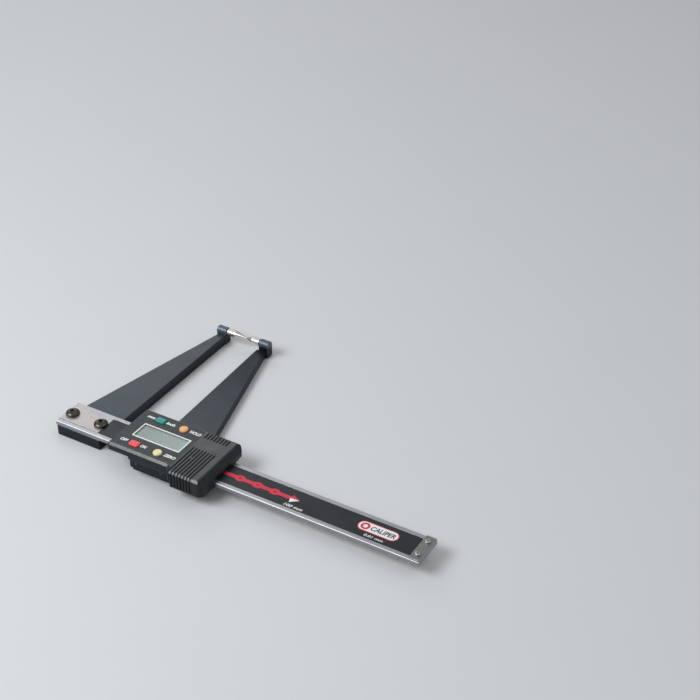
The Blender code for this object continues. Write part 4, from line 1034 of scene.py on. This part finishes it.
def add_label_prints():
    """Travel line with its stations and arrowhead, the range, and a generic badge."""
    top = LABEL_HIGH.z
    y = CENTRE_Y + 0.15
    half, wide, long = 1.5, 2.8, 3.6
    stations = (141.1, 154.3, 167.4)
    start, end = 126.5, 179.0
    upper = [(start, half)]
    for x in stations:
        upper += [(x - long, half), (x - 1.2, wide), (x + 1.2, wide), (x + long, half)]
    upper.append((end, half))
    outline = [(x, y - side) for x, side in upper] + [(x, y + side) for x, side in reversed(upper)]
    flat_print("travel_line", outline, "print_red", top)
    for number, x in enumerate(stations, 1):
        dot = arc((x, y), 0.75, 0, 360 - 15, 23)
        flat_print("travel_station_%d" % number, dot, "print_dark", top + PRINT_THICKNESS)
    tip = (185.6, y + 0.3)
    flat_print("travel_arrow_far", [(end, y), tip, (end + 0.5, y + 3.4)], "print_red", top)
    flat_print("travel_arrow_near", [(end, y - 0.05), (end + 1.2, y - 4.0), (tip[0], tip[1] - 0.05)],
               "print_white", top)
    lettering("print_range", "100 mm", (185.2, 5.6), 13.6, 2.3, "print_white", "beam_assembly", top, 0.25)
    badge = (242.0, 13.0)
    flat_print("badge_rim", rounded_outline(badge, (28.2, 8.8, 4.3), 0, 16), "print_red", top)
    layer = top + PRINT_THICKNESS
    flat_print("badge_field", rounded_outline(badge, (27.0, 7.6, 3.7), 0, 16), "print_white", layer)
    layer += PRINT_THICKNESS
    disc = (badge[0] - 9.0, badge[1])
    flat_print("badge_disc", arc(disc, 3.1, 0, 350, 35), "print_red", layer)
    flat_print("badge_ring", arc(disc, 1.5, 0, 350, 35), "print_white", layer + PRINT_THICKNESS)
    lettering("badge_word", "CALIPER", (badge[0] + 3.6, badge[1]), 17.0, 3.6, "print_dark", "beam_assembly",
              layer, 0.15, 0.025)
    lettering("print_step", "0.01 mm", (242.6, 5.9), 13.2, 1.9, "print_white", "beam_assembly", top, 0.2)


def add_small_parts():
    """The remaining nodes: copies with their edges rounded, in their own looks."""
    refined("slider_frame", "black_anodised", 0.15)
    refined("face_plate", "face_film", 0.06)
    refined("label_strip", "label_film", 0.08)
    refined("scale_strip", "green_board", 0.08)
    refined("gib_strip", "brass", 0.1)
    refined("circuit_board", "green_board", 0.06, 1)
    refined("battery", "cell_steel", 0.12, shortest=0.4)
    for node in ("battery_contact_plus", "battery_contact_minus",
                 "unit_dome", "hold_dome", "power_dome", "zero_dome"):
        refined(node, "cell_steel", 0.04, 1)
    for node in ("display_connector_near", "display_connector_far"):
        refined(node, "black_rubber", 0.12)
    for number in range(1, 5):
        refined("jaw_bolt_%d" % number, "black_oxide", 0.1, shortest=0.5)
        refined("cover_screw_%d" % number, "zinc_steel", 0.1, shortest=0.4)
    for node in ("fixed_anvil_setscrew", "moving_anvil_setscrew", "gib_screw_1", "gib_screw_2"):
        refined(node, "black_oxide", 0.06, shortest=0.4)


# Camera: where it stands, which way it looks in degrees, and its focal length on a 36 mm sensor
CAMERA_PLACE = Vector((583.0, -594.9, 604.1))
CAMERA_AZIMUTH = 30.71
CAMERA_ELEVATION = 34.07
CAMERA_LENS = 77.35


def add_camera():
    """The camera, turned by its azimuth from square to the beam and tilted down by its elevation."""
    data = bpy.data.cameras.new("camera")
    data.lens = CAMERA_LENS
    data.sensor_width = 36.0
    data.clip_start = 0.01
    data.clip_end = 20.0
    camera = bpy.data.objects.new("camera", data)
    azimuth, elevation = math.radians(CAMERA_AZIMUTH), math.radians(CAMERA_ELEVATION)
    level = math.cos(elevation)
    ahead = Vector((-math.sin(azimuth) * level, math.cos(azimuth) * level, -math.sin(elevation)))
    camera.location = ORIGIN + CAMERA_PLACE * MM
    camera.rotation_mode = "QUATERNION"
    camera.rotation_quaternion = ahead.to_track_quat("-Z", "Y")
    bpy.context.scene.collection.objects.link(camera)
    bpy.context.scene.camera = camera


def add_light(name, direction, distance, size, power, tone=(1.0, 1.0, 1.0)):
    """A soft box that shines on the middle of the caliper from a direction."""
    data = bpy.data.lights.new(name, "AREA")
    data.shape = "RECTANGLE"
    data.size, data.size_y = size
    data.energy = power
    data.color = tone
    light = bpy.data.objects.new(name, data)
    direction = Vector(direction).normalized()
    light.location = direction * distance
    light.rotation_mode = "QUATERNION"
    light.rotation_quaternion = direction.to_track_quat("Z", "Y")
    bpy.context.scene.collection.objects.link(light)


def add_stage():
    """Pale floor under the jaws, a soft sky and three soft boxes."""
    bm = bmesh.new()
    bmesh.ops.create_grid(bm, x_segments=8, y_segments=8, size=3.0)
    mesh = bpy.data.meshes.new("floor")
    bm.to_mesh(mesh)
    bm.free()
    look = Look("floor", (0.74, 0.745, 0.75), 0.7, specular=0.2)
    look.tint(look.noise(60, detail=3.0), (0.78, 0.78, 0.78), 0.5)
    mesh.materials.append(look.made)
    floor = bpy.data.objects.new("floor", mesh)
    floor.location.z = cad_box[0].z - 0.2 * MM
    bpy.context.scene.collection.objects.link(floor)

    world = bpy.data.worlds.new("studio")
    world.use_nodes = True
    nodes, links = world.node_tree.nodes, world.node_tree.links
    background = nodes["Background"]
    where = nodes.new("ShaderNodeTexCoord")
    parts = nodes.new("ShaderNodeSeparateXYZ")
    height = nodes.new("ShaderNodeMapRange")
    tone = nodes.new("ShaderNodeMix")
    tone.data_type = "RGBA"
    tone.inputs[6].default_value = (0.34, 0.36, 0.38, 1.0)
    tone.inputs[7].default_value = (0.92, 0.94, 0.97, 1.0)
    height.inputs["From Min"].default_value = 0.05
    height.inputs["From Max"].default_value = 0.60
    links.new(where.outputs["Generated"], parts.inputs[0])
    links.new(parts.outputs["Z"], height.inputs["Value"])
    links.new(height.outputs["Result"], tone.inputs[0])
    links.new(tone.outputs[2], background.inputs["Color"])
    background.inputs["Strength"].default_value = 0.44
    bpy.context.scene.world = world
    bpy.context.scene.view_settings.view_transform = "Standard"

    add_light("key", (-0.42, -0.56, 0.71), 1.3, (0.8, 0.55), 10.0, (0.92, 0.97, 1.0))
    add_light("back", (-0.75, 0.60, 0.60), 1.4, (0.9, 0.5), 1.8, (0.97, 0.98, 1.0))
    add_light("fill", (0.35, 0.25, 0.90), 1.5, (0.8, 0.8), 1.2)


add_camera()
add_stage()
add_beam()
add_small_parts()
add_jaws()
add_jaw_screws()
add_anvils()
add_stop()
add_cover()
add_door()
add_window()
add_buttons()
add_prints()
add_label_prints()
